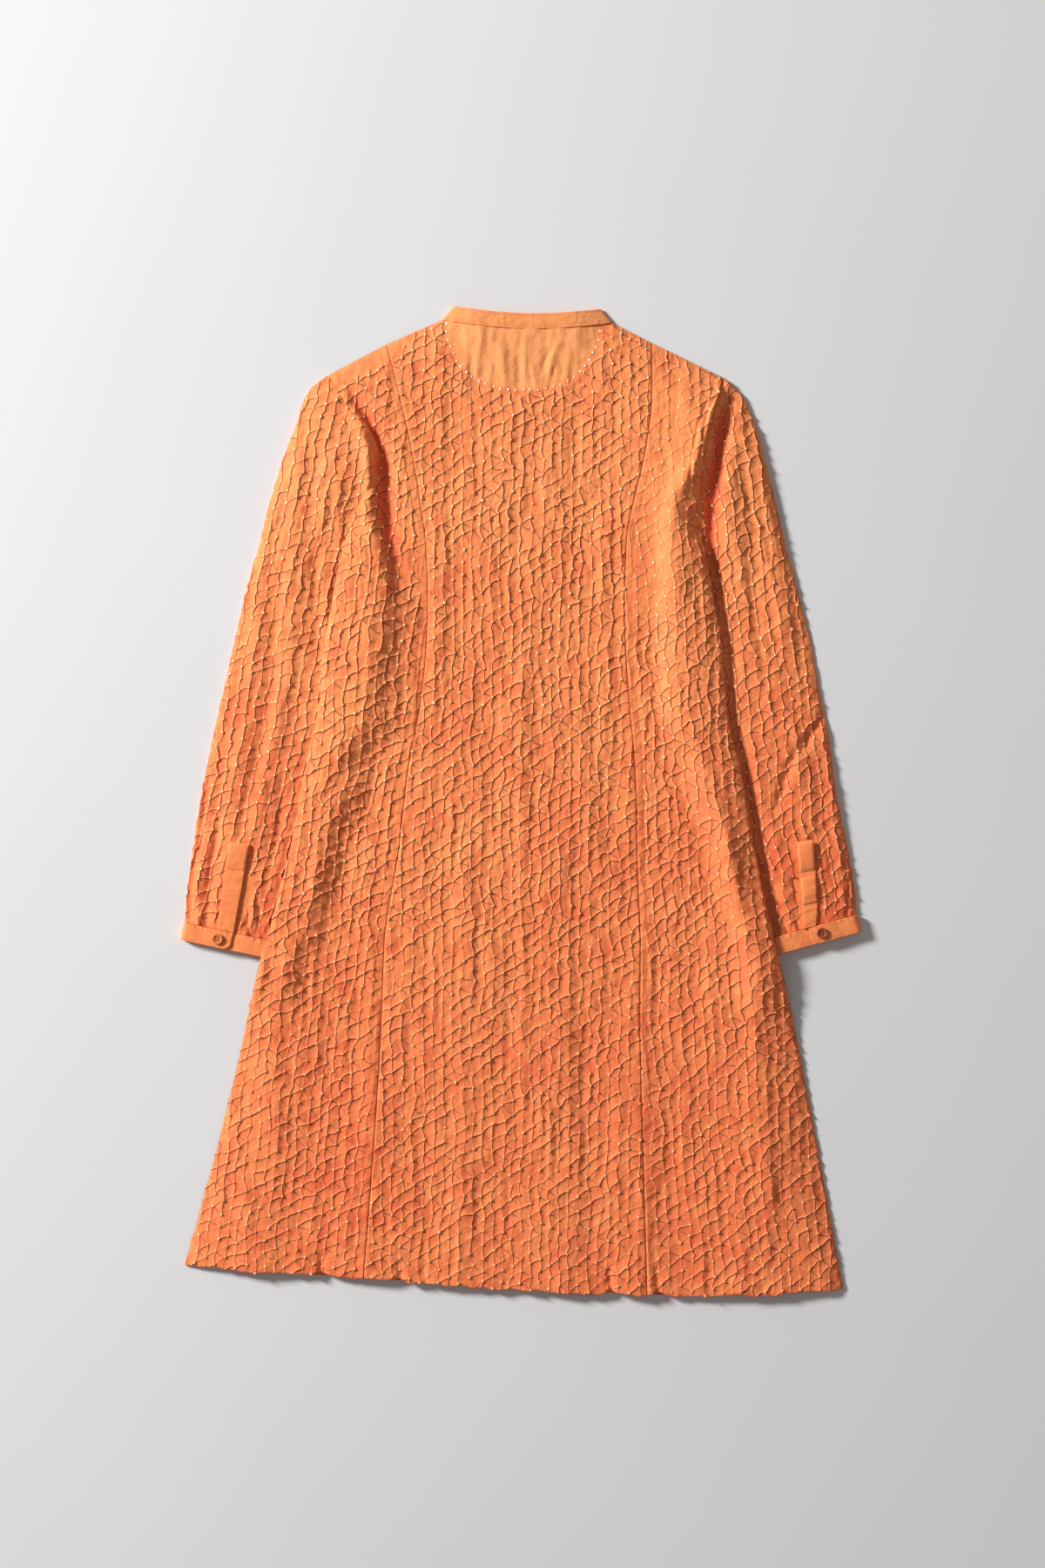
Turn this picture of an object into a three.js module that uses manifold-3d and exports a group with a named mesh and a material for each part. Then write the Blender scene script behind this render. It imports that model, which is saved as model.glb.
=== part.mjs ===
// A long-sleeved A-line tunic dress in tie-dyed cotton with a narrow stand collar, laid flat
// with its back up and its sleeves down along its sides.
// Millimetres. +X is to the right of the laid dress, +Y towards its collar and +Z up from the
// surface that it lies on. The origin is on that surface, under the middle of the dress.
// Every place along the dress is given by "down", the distance below the top of the collar.

import * as THREE from 'three';
import { mergeVertices } from 'three/addons/utils/BufferGeometryUtils.js';
import Module from 'manifold-3d';

const wasm = await Module();
wasm.setup();

// Driving sizes
const LENGTH = 1007;            // top of the collar to the lowest point of the hem
const WALL = 2;                 // the puckered cloth with its small pillows
const SEAM_GAP = 0.3;           // between pieces that are sewn together
const HOLLOW = 6;               // between the front and the back where they are furthest apart
const EDGE_ROLL = 40;           // how far from a side or shoulder seam the hollow grows
const SLEEVE_HEIGHT = 10.6;     // a laid sleeve, both layers
const SLEEVE_EDGE = 4.3;        // height of a laid sleeve's two folds
const LIFT = SLEEVE_HEIGHT + 0.4;   // how high the body lies where a sleeve is under it
const LIFT_RAMP = 32;           // width of the slope down off the sleeve beneath
const RIDGE_WIDTH = 16;         // from an armhole seam to the crest of the ridge beside it
const FOLD_START = 150;         // length over which a skirt fold grows to its full height

const NECK = { centreX: 6.5, halfWidth: 86.5, leftDown: 12, rightDown: 15, backDip: 8, frontDip: 60 };
const COLLAR = { height: 13, taper: 11, dip: -1.5 };
const HEM_BOW = { left: 1, centre: 3, right: 4 };
const PLACKET = { width: 28, length: 300 };
// The cuff's laps and their ease are shares of its width.
const CUFF = {
  height: 18, wall: 1.8, overlapEnd: 0.56, underlapEnd: 0.34, lapEase: 0.14, foldSteps: 5,
};
// The placket band and the underlap start at a ring of the sleeve. The band lies between two of
// the sleeve's own columns, and the underlap at shares of its width.
const BAND = { from: 10.8, wall: 1.5, columns: [3, 4] };
const UNDERLAP = { from: 11, wall: 1.2, across: [0.45, 0.5, 0.64] };
const SLIT = { length: 50, width: 7, ring: 12, across: 0.54, corners: 12 };
const BUTTON = {
  radius: 5.5, thickness: 2.4, rim: 1, dish: 0.7, edge: 0.6, sides: 24,
  holeRadius: 0.8, holeSpacing: 2.6, holeSides: 8,
};
// Where each button sits, as shares of its cuff's width and height.
const BUTTON_PLACES = { left: [0.4, 0.5], right: [0.43, 0.47] };

const LOOKS = {
  tiedCloth: { color: new THREE.Color(0.86, 0.42, 0.2), roughness: 0.8 },
  plainCloth: { color: new THREE.Color(0.92, 0.5, 0.26), roughness: 0.75 },
  lightButton: { color: new THREE.Color(0.85, 0.42, 0.22), roughness: 0.45 },
  darkButton: { color: new THREE.Color(0.62, 0.24, 0.13), roughness: 0.45 },
};

// Sections of the body, from the shoulders to the hem. X and down of the left edge, of the two
// curved back seams and of the right edge. The edge is the armhole as far as row UNDERARM and
// the side seam below it. "lift" is the share of LIFT that the sleeves beneath give the edges,
// the shelves say how far in from the edges it is full, and "ridge" is the height of the ridge
// beside the armhole.
const UNDERARM = 4;
const BODY = table(
  ['leftX', 'leftDown', 'seamLX', 'seamLDown', 'seamRX', 'seamRDown', 'rightX', 'rightDown',
    'lift', 'shelfL', 'shelfR', 'ridge'],
  [
    [-196, 68, -137, 37, 134, 36, 206, 71, 0, -160, 168, 0],
    [-177, 100, -129, 68, 134, 69, 196, 107, 0, -160, 168, 5],
    [-155, 130, -121, 101, 133, 105, 187, 143, 0, -160, 168, 8],
    [-145, 170, -111, 146, 125, 157, 183, 182, 0, -160, 168, 8],
    [-174, 219, -100, 215, 110, 222, 182, 219, 0.5, -160, 168, 6],
    [-184, 255, -96, 255, 107, 263, 189, 255, 1, -152, 165, 4],
    [-190, 290, -95, 299, 106, 308, 196, 292, 1, -148, 165, 2],
    [-201, 352, -97, 357, 108, 361, 206, 354, 1, -152, 165, 0],
    [-206, 410, -104, 415, 112, 415, 210, 413, 1, -160, 168, 0],
    [-221, 477, -115, 473, 117, 473, 225, 480, 1, -190, 192, 0],
    [-236, 557, -125, 557, 119, 562, 240, 562, 1, -218, 216, 0],
    [-255, 630, -137, 628, 122, 637, 255, 632, 1, -240, 241, 0],
    [-267, 671, -140, 671, 122, 675, 265, 671, 1, -250, 250, 0],
    [-285, 753, -143, 753, 122, 757, 283, 753, 0, -262, 262, 0],
    [-311, 860, -150, 860, 125, 860, 304, 864, 0, -290, 280, 0],
    [-343, 976, -160, 989, 129, 1006, 329, 1000, 0, -320, 300, 0],
  ],
);

// Sections of the sleeves below the armhole, each a flat ring from the outer fold to the inner
// one. "bow" is the share of the armhole's curve that the ring still has, and "crown" is the
// height of the round ridge that the sleeve head makes.
const SLEEVE_COLUMNS = ['outerX', 'outerDown', 'innerX', 'innerDown', 'bow', 'crown'];
const SLEEVES = {
  left: table(SLEEVE_COLUMNS, [
    [-217, 86, -180, 228, 0.75, 3],
    [-229, 117, -183.5, 238, 0.5, 4],
    [-242, 152, -184, 249, 0.3, 4],
    [-256, 197, -180, 268, 0.15, 3],
    [-267, 241, -180, 290, 0.05, 1],
    [-280, 286, -175, 321, 0, 0],
    [-292, 339, -167, 366, 0, 0],
    [-303, 388, -172, 410, 0, 0],
    [-316, 446, -194, 461, 0, 0],
    [-326, 495, -208, 508, 0, 0],
    [-335, 553, -225, 562, 0, 0],
    [-341, 597, -240, 611, 0, 0],
    [-343, 627, -253, 646, 0, 0],
  ]),
  right: table(SLEEVE_COLUMNS, [
    [225, 89, 186, 229, 0.75, 3],
    [238, 116, 188.5, 239, 0.5, 4],
    [248, 150, 187.5, 250, 0.3, 4],
    [259, 194, 186, 268, 0.15, 3],
    [270, 240, 184, 291, 0.05, 1],
    [282, 286, 180, 321, 0, 0],
    [295, 339, 174, 366, 0, 0],
    [304, 388, 177, 410, 0, 0],
    [315, 441, 196, 461, 0, 0],
    [322, 495, 208, 510, 0, 0],
    [333, 548, 224, 564, 0, 0],
    [341, 593, 242, 615, 0, 0],
    [342.5, 619, 254, 643, 0, 0],
  ]),
};

// Where the points of a ring lie, as shares of its width from the outer fold.
const ACROSS_SLEEVE = [0, 0.1, 0.22, 0.36, 0.5, 0.64, 0.78, 0.9, 1];
// Where the points of the neckline lie, as shares of its half width from the centre.
const ACROSS_NECK = [-1, -0.85, -0.62, -0.4, -0.2, 0, 0.2, 0.4, 0.62, 0.85, 1];
const ACROSS_SIDE = [0, 0.12, 0.27, 0.45, 0.65, 0.83, 1];

// Long soft folds of the skirt's back, which run down to the hem.
const SKIRT_FOLDS = table(
  ['topX', 'topDown', 'hemX', 'height', 'width'],
  [
    [-245, 660, -268, 2.4, 30],
    [-143, 700, -160, 2.8, 26],
    [-38, 480, -62, 1.8, 38],
    [38, 440, 44, 2.2, 34],
    [122, 700, 118, 2.6, 20],
    [222, 560, 232, 3, 40],
  ],
);

function table(columns, rows) {
  return rows.map((row) => Object.fromEntries(columns.map((name, i) => [name, row[i]])));
}

function clamp01(value) {
  return Math.min(1, Math.max(0, value));
}

function smooth(value) {
  const t = clamp01(value);
  return t * t * (3 - 2 * t);
}

function mix(a, b, t) {
  return a + (b - a) * t;
}

// A column of a table at a place between its rows, on a smooth curve through them.
function curveAt(rows, column, place) {
  const last = rows.length - 1;
  const row = Math.min(last - 1, Math.floor(place));
  const t = place - row;
  const value = (i) => rows[Math.min(last, Math.max(0, i))][column];
  const [a, b, c, d] = [value(row - 1), value(row), value(row + 1), value(row + 2)];
  const bend = 2 * a - 5 * b + 4 * c - d;
  const twist = -a + 3 * b - 3 * c + d;
  return 0.5 * (2 * b + (c - a) * t + bend * t * t + twist * t * t * t);
}

// The same, easing from row to row, so that it never leaves the rows' own range.
function easeAt(rows, column, place) {
  const row = Math.min(rows.length - 2, Math.floor(place));
  return mix(rows[row][column], rows[row + 1][column], smooth(place - row));
}

// A plan point is [x, down]; these turn it into a point of the model.
function toPoint([x, down], z) {
  return new THREE.Vector3(x, LENGTH / 2 - down, z);
}

function bodyLine(xColumn, downColumn, place) {
  return [curveAt(BODY, xColumn, place), curveAt(BODY, downColumn, place)];
}

// The rows of every body piece: twice as close down to the hips as on the skirt.
const HIP_ROW = 9;
const ROW_PLACES = [];
for (let place = 0; place < BODY.length - 1; place += place < HIP_ROW ? 0.5 : 1) {
  ROW_PLACES.push(place);
}
ROW_PLACES.push(BODY.length - 1);

const LINES = {
  left: (place) => bodyLine('leftX', 'leftDown', place),
  seamL: (place) => bodyLine('seamLX', 'seamLDown', place),
  seamR: (place) => bodyLine('seamRX', 'seamRDown', place),
  right: (place) => bodyLine('rightX', 'rightDown', place),
};

// The neckline at a share of its half width: a shallow curve at the back, a deep one in front.
function neckPoint(share, dip) {
  const endDown = mix(NECK.leftDown, NECK.rightDown, (share + 1) / 2);
  return [NECK.centreX + NECK.halfWidth * share, endDown + dip * (1 - share * share)];
}

// The lines where front and back are sewn to each other: the shoulders and the side seams.
function closedLines() {
  const sides = [LINES.left, LINES.right].map((line) => {
    const places = ROW_PLACES.filter((place) => place >= UNDERARM);
    return places.map((place) => line(place));
  });
  const shoulders = [
    [LINES.left(0), LINES.seamL(0), neckPoint(-1, 0)],
    [LINES.right(0), LINES.seamR(0), neckPoint(1, 0)],
  ];
  return [...sides, ...shoulders];
}
const CLOSED = closedLines();

function distanceToSegment([x, y], [ax, ay], [bx, by]) {
  const length2 = (bx - ax) ** 2 + (by - ay) ** 2;
  const t = clamp01(((x - ax) * (bx - ax) + (y - ay) * (by - ay)) / length2);
  return Math.hypot(x - mix(ax, bx, t), y - mix(ay, by, t));
}

function distanceToLine(point, line) {
  const pieces = line.slice(1).map((end, i) => distanceToSegment(point, line[i], end));
  return Math.min(...pieces);
}

// Height of the hollow between front and back, which closes in a round roll at their seams.
function hollowAt(point) {
  const distance = Math.min(...CLOSED.map((line) => distanceToLine(point, line)));
  const open = 1 - (1 - clamp01(distance / EDGE_ROLL)) ** 2;
  return mix(SEAM_GAP, HOLLOW, open);
}

// How far the sleeve beneath lifts the front, at a point of the given row.
function liftAt(place, [x]) {
  const shelfL = easeAt(BODY, 'shelfL', place);
  const shelfR = easeAt(BODY, 'shelfR', place);
  const onLeft = smooth((shelfL + LIFT_RAMP - x) / LIFT_RAMP);
  const onRight = smooth((x - shelfR + LIFT_RAMP) / LIFT_RAMP);
  return LIFT * easeAt(BODY, 'lift', place) * Math.max(onLeft, onRight);
}

// The ridge that the gathered seams make beside each armhole, nothing on the edge itself.
function ridgeAt(place, point) {
  const fromEdge = Math.min(
    Math.hypot(point[0] - LINES.left(place)[0], point[1] - LINES.left(place)[1]),
    Math.hypot(point[0] - LINES.right(place)[0], point[1] - LINES.right(place)[1]),
  );
  const t = fromEdge / RIDGE_WIDTH;
  return easeAt(BODY, 'ridge', place) * t * Math.exp(1 - t);
}

function skirtFoldAt([x, down]) {
  return SKIRT_FOLDS.reduce((sum, fold) => {
    const along = (down - fold.topDown) / (LENGTH - fold.topDown);
    const centre = mix(fold.topX, fold.hemX, along);
    const grown = smooth((down - fold.topDown) / FOLD_START);
    return sum + fold.height * grown * Math.exp(-(((x - centre) / fold.width) ** 2));
  }, 0);
}

function frontUnder(place, point) {
  return liftAt(place, point);
}

function backUnder(place, point) {
  const rise = ridgeAt(place, point) + skirtFoldAt(point);
  return frontUnder(place, point) + WALL + hollowAt(point) + rise;
}

// A patch between four edges: two lines of the same rows, and a top and a bottom edge of the
// same columns. Returns rows of plan points.
function patch(leftEdge, rightEdge, topEdge, bottomEdge) {
  const columns = topEdge.length - 1;
  const shareDown = sharesOf(leftEdge, 1);
  const shareAcross = sharesOf(topEdge, 0);
  return leftEdge.map((left, j) => topEdge.map((top, i) => [0, 1].map((axis) => {
    const u = shareAcross[i];
    const v = shareDown[j];
    const sides = mix(left[axis], rightEdge[j][axis], u);
    const ends = mix(top[axis], bottomEdge[i][axis], v);
    const cornersTop = mix(topEdge[0][axis], topEdge[columns][axis], u);
    const cornersBottom = mix(bottomEdge[0][axis], bottomEdge[columns][axis], u);
    return sides + ends - mix(cornersTop, cornersBottom, v);
  })));
}

// An edge from one plan point to another at given shares, bowed towards the hem.
function edgeBetween(from, to, shares, bow) {
  return shares.map((t) => [mix(from[0], to[0], t), mix(from[1], to[1], t) + bow * 4 * t * (1 - t)]);
}

// How far along an edge each of its points is, as a share, measured along one axis.
function sharesOf(edge, axis) {
  const first = edge[0][axis];
  const last = edge[edge.length - 1][axis];
  return edge.map((p) => (p[axis] - first) / (last - first));
}

function lineWithGap(line, gap) {
  return ROW_PLACES.map((place) => [line(place)[0] + gap, line(place)[1]]);
}

// Turns a mesh the right way out, whichever way its faces were listed.
function finishGeometry(points, faces) {
  let volume = 0;
  for (const [a, b, c] of faces) {
    volume += points[a].dot(new THREE.Vector3().crossVectors(points[b], points[c]));
  }
  const outward = volume > 0 ? faces : faces.map(([a, b, c]) => [a, c, b]);
  const geometry = new THREE.BufferGeometry().setFromPoints(points);
  geometry.setIndex(outward.flat());
  geometry.computeVertexNormals();
  return geometry;
}

// A geometry again with its faces outward, after a mirrored frame has turned it inside out.
function turnedOutward(geometry) {
  geometry.deleteAttribute('normal');
  geometry.deleteAttribute('uv');
  const merged = mergeVertices(geometry);
  const { position } = merged.attributes;
  const points = Array.from(
    { length: position.count },
    (_, i) => new THREE.Vector3().fromBufferAttribute(position, i),
  );
  const corners = Array.from(merged.index.array);
  const faces = [];
  while (corners.length) {
    faces.push(corners.splice(0, 3));
  }
  return finishGeometry(points, faces);
}

// A wall between an upper and a lower sheet of points with the same rows and columns.
function slab(upper, lower) {
  const rows = upper.length;
  const columns = upper[0].length;
  const end = columns - 1;
  const points = [...upper.flat(), ...lower.flat()];
  const at = (sheet, j, i) => sheet * rows * columns + j * columns + i;
  const faces = [];
  const quad = (a, b, c, d) => faces.push([a, b, c], [a, c, d]);
  for (let j = 0; j < rows - 1; j += 1) {
    for (let i = 0; i < end; i += 1) {
      quad(at(0, j, i), at(0, j + 1, i), at(0, j + 1, i + 1), at(0, j, i + 1));
      quad(at(1, j, i), at(1, j, i + 1), at(1, j + 1, i + 1), at(1, j + 1, i));
    }
  }
  for (let j = 0; j < rows - 1; j += 1) {
    quad(at(0, j, 0), at(1, j, 0), at(1, j + 1, 0), at(0, j + 1, 0));
    quad(at(0, j, end), at(0, j + 1, end), at(1, j + 1, end), at(1, j, end));
  }
  for (let i = 0; i < end; i += 1) {
    quad(at(0, 0, i), at(0, 0, i + 1), at(1, 0, i + 1), at(1, 0, i));
    quad(at(0, rows - 1, i), at(1, rows - 1, i), at(1, rows - 1, i + 1), at(0, rows - 1, i + 1));
  }
  return finishGeometry(points, faces);
}

// A tube wall between outer and inner rings of the same number of points, open at both ends.
function tube(outer, inner) {
  const rings = outer.length;
  const around = outer[0].length;
  const points = [...outer.flat(), ...inner.flat()];
  const at = (wall, ring, i) => (wall * rings + ring) * around + (i % around);
  const faces = [];
  const quad = (a, b, c, d) => faces.push([a, b, c], [a, c, d]);
  for (let i = 0; i < around; i += 1) {
    for (let ring = 0; ring < rings - 1; ring += 1) {
      quad(at(0, ring, i), at(0, ring, i + 1), at(0, ring + 1, i + 1), at(0, ring + 1, i));
      quad(at(1, ring, i), at(1, ring + 1, i), at(1, ring + 1, i + 1), at(1, ring, i + 1));
    }
    quad(at(0, 0, i), at(1, 0, i), at(1, 0, i + 1), at(0, 0, i + 1));
    quad(at(0, rings - 1, i), at(0, rings - 1, i + 1), at(1, rings - 1, i + 1), at(1, rings - 1, i));
  }
  return finishGeometry(points, faces);
}

function toSolid(source) {
  const bare = source.clone();
  bare.deleteAttribute('normal');
  bare.deleteAttribute('uv');
  const merged = mergeVertices(bare);
  return new wasm.Manifold(new wasm.Mesh({
    numProp: 3,
    vertProperties: new Float32Array(merged.attributes.position.array),
    triVerts: new Uint32Array(merged.index.array),
  }));
}

function toGeometry(solid) {
  const { vertProperties, triVerts } = solid.getMesh();
  const geometry = new THREE.BufferGeometry();
  geometry.setAttribute('position', new THREE.BufferAttribute(new Float32Array(vertProperties), 3));
  geometry.setIndex(new THREE.BufferAttribute(new Uint32Array(triVerts), 1));
  geometry.computeVertexNormals();
  return geometry;
}

const dress = new THREE.Group();

function addPiece(name, geometry, look) {
  const material = new THREE.MeshStandardMaterial({ ...look, metalness: 0 });
  const mesh = new THREE.Mesh(geometry, material);
  mesh.name = name;
  dress.add(mesh);
  return mesh;
}

// Back: a centre panel and two side panels
function panel(points, under) {
  const lower = points.map((row, j) => row.map((p) => toPoint(p, under(ROW_PLACES[j], p))));
  const upper = lower.map((row) => row.map((p) => p.clone().setZ(p.z + WALL)));
  return slab(upper, lower);
}

function sidePanelPoints(side) {
  const onLeft = side === 'left';
  const inset = SEAM_GAP / 2;
  const edge = lineWithGap(onLeft ? LINES.left : LINES.right, 0);
  const seam = lineWithGap(onLeft ? LINES.seamL : LINES.seamR, onLeft ? -inset : inset);
  const last = ROW_PLACES.length - 1;
  const shares = onLeft ? ACROSS_SIDE : ACROSS_SIDE.map((t) => 1 - t).reverse();
  const [from, to] = onLeft ? [edge, seam] : [seam, edge];
  const shoulder = edgeBetween(from[0], to[0], shares, 0);
  const hem = edgeBetween(from[last], to[last], shares, HEM_BOW[side]);
  return patch(from, to, shoulder, hem);
}

function backCentrePoints() {
  const inset = SEAM_GAP / 2;
  const from = lineWithGap(LINES.seamL, inset);
  const to = lineWithGap(LINES.seamR, -inset);
  const last = ROW_PLACES.length - 1;
  const neck = ACROSS_NECK.map((share) => neckPoint(share, NECK.backDip));
  const top = [
    ...edgeBetween(from[0], neck[0], [0, 0.5], 0),
    ...neck,
    ...edgeBetween(neck[neck.length - 1], to[0], [0.5, 1], 0),
  ];
  return patch(from, to, top, edgeBetween(from[last], to[last], sharesOf(top, 0), HEM_BOW.centre));
}

// Front: two centre panels that meet at the centre line, and two side panels
const FRONT_NECK_DOWN = neckPoint(0, NECK.frontDip)[1];
const HEM_CENTRE_X = -15;

function centreLineX(down) {
  return mix(NECK.centreX, HEM_CENTRE_X, (down - FRONT_NECK_DOWN) / (LENGTH - FRONT_NECK_DOWN));
}

function frontCentrePoints(side) {
  const onLeft = side === 'left';
  const inset = onLeft ? SEAM_GAP / 2 : -SEAM_GAP / 2;
  const seam = lineWithGap(onLeft ? LINES.seamL : LINES.seamR, inset);
  const last = ROW_PLACES.length - 1;
  const hemRow = BODY[BODY.length - 1];
  const hemDown = mix(hemRow.seamLDown, hemRow.seamRDown, 0.5);
  const centre = seam.map((p) => {
    const share = (p[1] - seam[0][1]) / (seam[last][1] - seam[0][1]);
    const down = mix(FRONT_NECK_DOWN, hemDown + HEM_BOW.centre, share);
    return [centreLineX(down) - inset, down];
  });
  const neck = ACROSS_NECK.filter((share) => (onLeft ? share <= 0 : share >= 0))
    .map((share) => neckPoint(share, NECK.frontDip));
  const [from, to] = onLeft ? [seam, centre] : [centre, seam];
  neck[onLeft ? neck.length - 1 : 0] = centre[0];
  const top = onLeft
    ? [...edgeBetween(seam[0], neck[0], [0, 0.5], 0), ...neck]
    : [...neck, ...edgeBetween(neck[neck.length - 1], seam[0], [0.5, 1], 0)];
  return patch(from, to, top, edgeBetween(from[last], to[last], sharesOf(top, 0), 0));
}

// The placket's outline on the centre line. The slot for it is larger by a margin, and runs out
// through the neckline.
function placketShape(margin) {
  const half = PLACKET.width / 2 + margin;
  const top = FRONT_NECK_DOWN + SEAM_GAP - 4 * margin;
  const bottom = FRONT_NECK_DOWN + PLACKET.length + margin;
  const corner = (side, down) => (
    new THREE.Vector2(centreLineX(down) + side * half, LENGTH / 2 - down)
  );
  return new THREE.Shape([corner(-1, bottom), corner(1, bottom), corner(1, top), corner(-1, top)]);
}

function extrudeUp(shape, bottom, height) {
  const geometry = new THREE.ExtrudeGeometry(shape, { depth: height, bevelEnabled: false });
  return geometry.translate(0, 0, bottom);
}

function frontCentre(side) {
  const whole = toSolid(panel(frontCentrePoints(side), frontUnder));
  const slot = toSolid(extrudeUp(placketShape(SEAM_GAP), -WALL, 3 * WALL));
  return toGeometry(whole.subtract(slot));
}

// Collar: a narrow stand band, one flat ring whose back half lies over its front half
function collarGeometry() {
  const back = ACROSS_NECK.map((share) => ({ share, upper: true }));
  const front = [...ACROSS_NECK].reverse().map((share) => ({ share, upper: false }));
  const loop = [...back, ...front];
  const ring = (rise, isOuter) => loop.map(({ share, upper }) => {
    const dip = (upper ? NECK.backDip : NECK.frontDip) + COLLAR.dip * rise;
    const seam = neckPoint(share, upper ? NECK.backDip : NECK.frontDip);
    const end = Math.abs(share) === 1;
    const inward = COLLAR.taper * rise + (end && !isOuter ? WALL : 0);
    const x = mix(seam[0], NECK.centreX, inward / NECK.halfWidth);
    const down = neckPoint(share, dip)[1] - SEAM_GAP - COLLAR.height * rise;
    const under = upper ? backUnder(0, seam) : 0;
    const outerZ = upper ? under + WALL : 0;
    const innerZ = upper ? under : WALL;
    return toPoint([x, down], isOuter ? outerZ : innerZ);
  });
  const steps = [0, 0.5, 1];
  const outer = steps.map((rise) => ring(rise, true));
  const inner = steps.map((rise) => ring(rise, false));
  return tube(outer, inner);
}

// Sleeves: flat rings from the armhole to the cuff seam. Each section gives its plan points and
// the heights of its two layers, from the outer fold to the inner one.
function armholeSection(side) {
  const line = side === 'left' ? LINES.left : LINES.right;
  const away = side === 'left' ? -SEAM_GAP : SEAM_GAP;
  const places = ACROSS_SLEEVE.map((_, k) => (UNDERARM * k) / (ACROSS_SLEEVE.length - 1));
  const seam = places.map((place) => line(place));
  const top = places.map((place, k) => backUnder(place, seam[k]) + WALL);
  const bottom = places.map((place, k) => frontUnder(place, seam[k]));
  return { plan: seam.map(([x, down]) => [x + away, down]), top, bottom };
}

function sleeveSections(side) {
  const armhole = armholeSection(side);
  const last = ACROSS_SLEEVE.length - 1;
  const chord = (a, b, t) => [mix(a[0], b[0], t), mix(a[1], b[1], t)];
  const bulge = armhole.plan.map((p, k) => {
    const straight = chord(armhole.plan[0], armhole.plan[last], ACROSS_SLEEVE[k]);
    return [p[0] - straight[0], p[1] - straight[1]];
  });
  const rest = SLEEVES[side].map((row) => {
    const plan = ACROSS_SLEEVE.map((t, k) => {
      const p = chord([row.outerX, row.outerDown], [row.innerX, row.innerDown], t);
      return [p[0] + row.bow * bulge[k][0], p[1] + row.bow * bulge[k][1]];
    });
    const top = ACROSS_SLEEVE.map((t, k) => {
      const arch = 1 - Math.abs(2 * t - 1) ** 3;
      const own = mix(SLEEVE_EDGE, SLEEVE_HEIGHT, arch) + row.crown * Math.sin(Math.PI * t);
      return mix(own, armhole.top[k] + row.crown * Math.sin(Math.PI * t), row.bow);
    });
    const bottom = armhole.bottom.map((height) => height * row.bow);
    return { plan, top, bottom };
  });
  return [armhole, ...rest];
}

function sleeveTube(side) {
  const sections = sleeveSections(side);
  const last = ACROSS_SLEEVE.length - 1;
  const shift = (plan, k, inner) => {
    if (!inner || (k > 0 && k < last)) return plan[k];
    const next = k === 0 ? 1 : last - 1;
    const width = Math.hypot(plan[next][0] - plan[k][0], plan[next][1] - plan[k][1]);
    return [0, 1].map((axis) => mix(plan[k][axis], plan[next][axis], WALL / width));
  };
  const ring = ({ plan, top, bottom }, inner) => {
    const wall = inner ? WALL : 0;
    const upper = plan.map((_, k) => toPoint(shift(plan, k, inner), top[k] - wall));
    const lower = plan.map((_, k) => toPoint(shift(plan, k, inner), bottom[k] + wall));
    return [...upper, ...lower.reverse()];
  };
  return tube(sections.map((s) => ring(s, false)), sections.map((s) => ring(s, true)));
}

// A point of the sleeve's upper face, at a ring number and a column number with fractions.
function sleeveTopAt(sections, ring, column) {
  const r = Math.min(sections.length - 2, Math.floor(ring));
  const c = Math.min(ACROSS_SLEEVE.length - 2, Math.floor(column));
  const corner = (i, k) => toPoint(sections[i].plan[k], sections[i].top[k]);
  const above = corner(r, c).lerp(corner(r, c + 1), column - c);
  const below = corner(r + 1, c).lerp(corner(r + 1, c + 1), column - c);
  return above.lerp(below, ring - r);
}

function columnOf(share) {
  const k = ACROSS_SLEEVE.findIndex((t) => t >= share) - 1;
  return k + (share - ACROSS_SLEEVE[k]) / (ACROSS_SLEEVE[k + 1] - ACROSS_SLEEVE[k]);
}

// A strip that follows the sleeve's upper face, made from its points and moved up or down.
function sleeveStrip(side, from, columns, bottom, wall) {
  const sections = sleeveSections(side);
  const rings = [from];
  for (let ring = Math.floor(from) + 1; ring < sections.length; ring += 1) {
    rings.push(ring);
  }
  const lower = rings.map((ring) => columns.map((column) => {
    const p = sleeveTopAt(sections, ring, column);
    return p.setZ(p.z + bottom);
  }));
  const upper = lower.map((row) => row.map((p) => p.clone().setZ(p.z + wall)));
  return slab(upper, lower);
}

// The slit beside the placket band, a leaf-shaped cut through the upper layer only.
function slitCutter(side) {
  const sections = sleeveSections(side);
  const column = columnOf(SLIT.across);
  const top = sleeveTopAt(sections, SLIT.ring - 1, column);
  const middle = sleeveTopAt(sections, SLIT.ring, column);
  const along = middle.clone().sub(top).setZ(0).normalize();
  const across = new THREE.Vector3(-along.y, along.x, 0);
  const outline = [];
  for (let i = 0; i < SLIT.corners; i += 1) {
    const angle = (2 * Math.PI * i) / SLIT.corners;
    const p = middle.clone()
      .addScaledVector(along, (SLIT.length / 2) * Math.cos(angle))
      .addScaledVector(across, (SLIT.width / 2) * Math.sin(angle));
    outline.push(new THREE.Vector2(p.x, p.y));
  }
  return extrudeUp(new THREE.Shape(outline), SLEEVE_HEIGHT / 2, SLEEVE_HEIGHT);
}

function addSleeve(side) {
  const whole = toSolid(sleeveTube(side));
  const slit = toSolid(slitCutter(side));
  addPiece(`sleeve_${side}`, toGeometry(whole.subtract(slit)), LOOKS.tiedCloth);
  const band = sleeveStrip(side, BAND.from, BAND.columns, SEAM_GAP, BAND.wall);
  addPiece(`sleeve_placket_${side}`, band, LOOKS.plainCloth);
  const underlapColumns = UNDERLAP.across.map(columnOf);
  const depth = -WALL - SEAM_GAP - UNDERLAP.wall;
  const underlap = sleeveStrip(side, UNDERLAP.from, underlapColumns, depth, UNDERLAP.wall);
  addPiece(`sleeve_underlap_${side}`, underlap, LOOKS.plainCloth);
}

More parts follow.
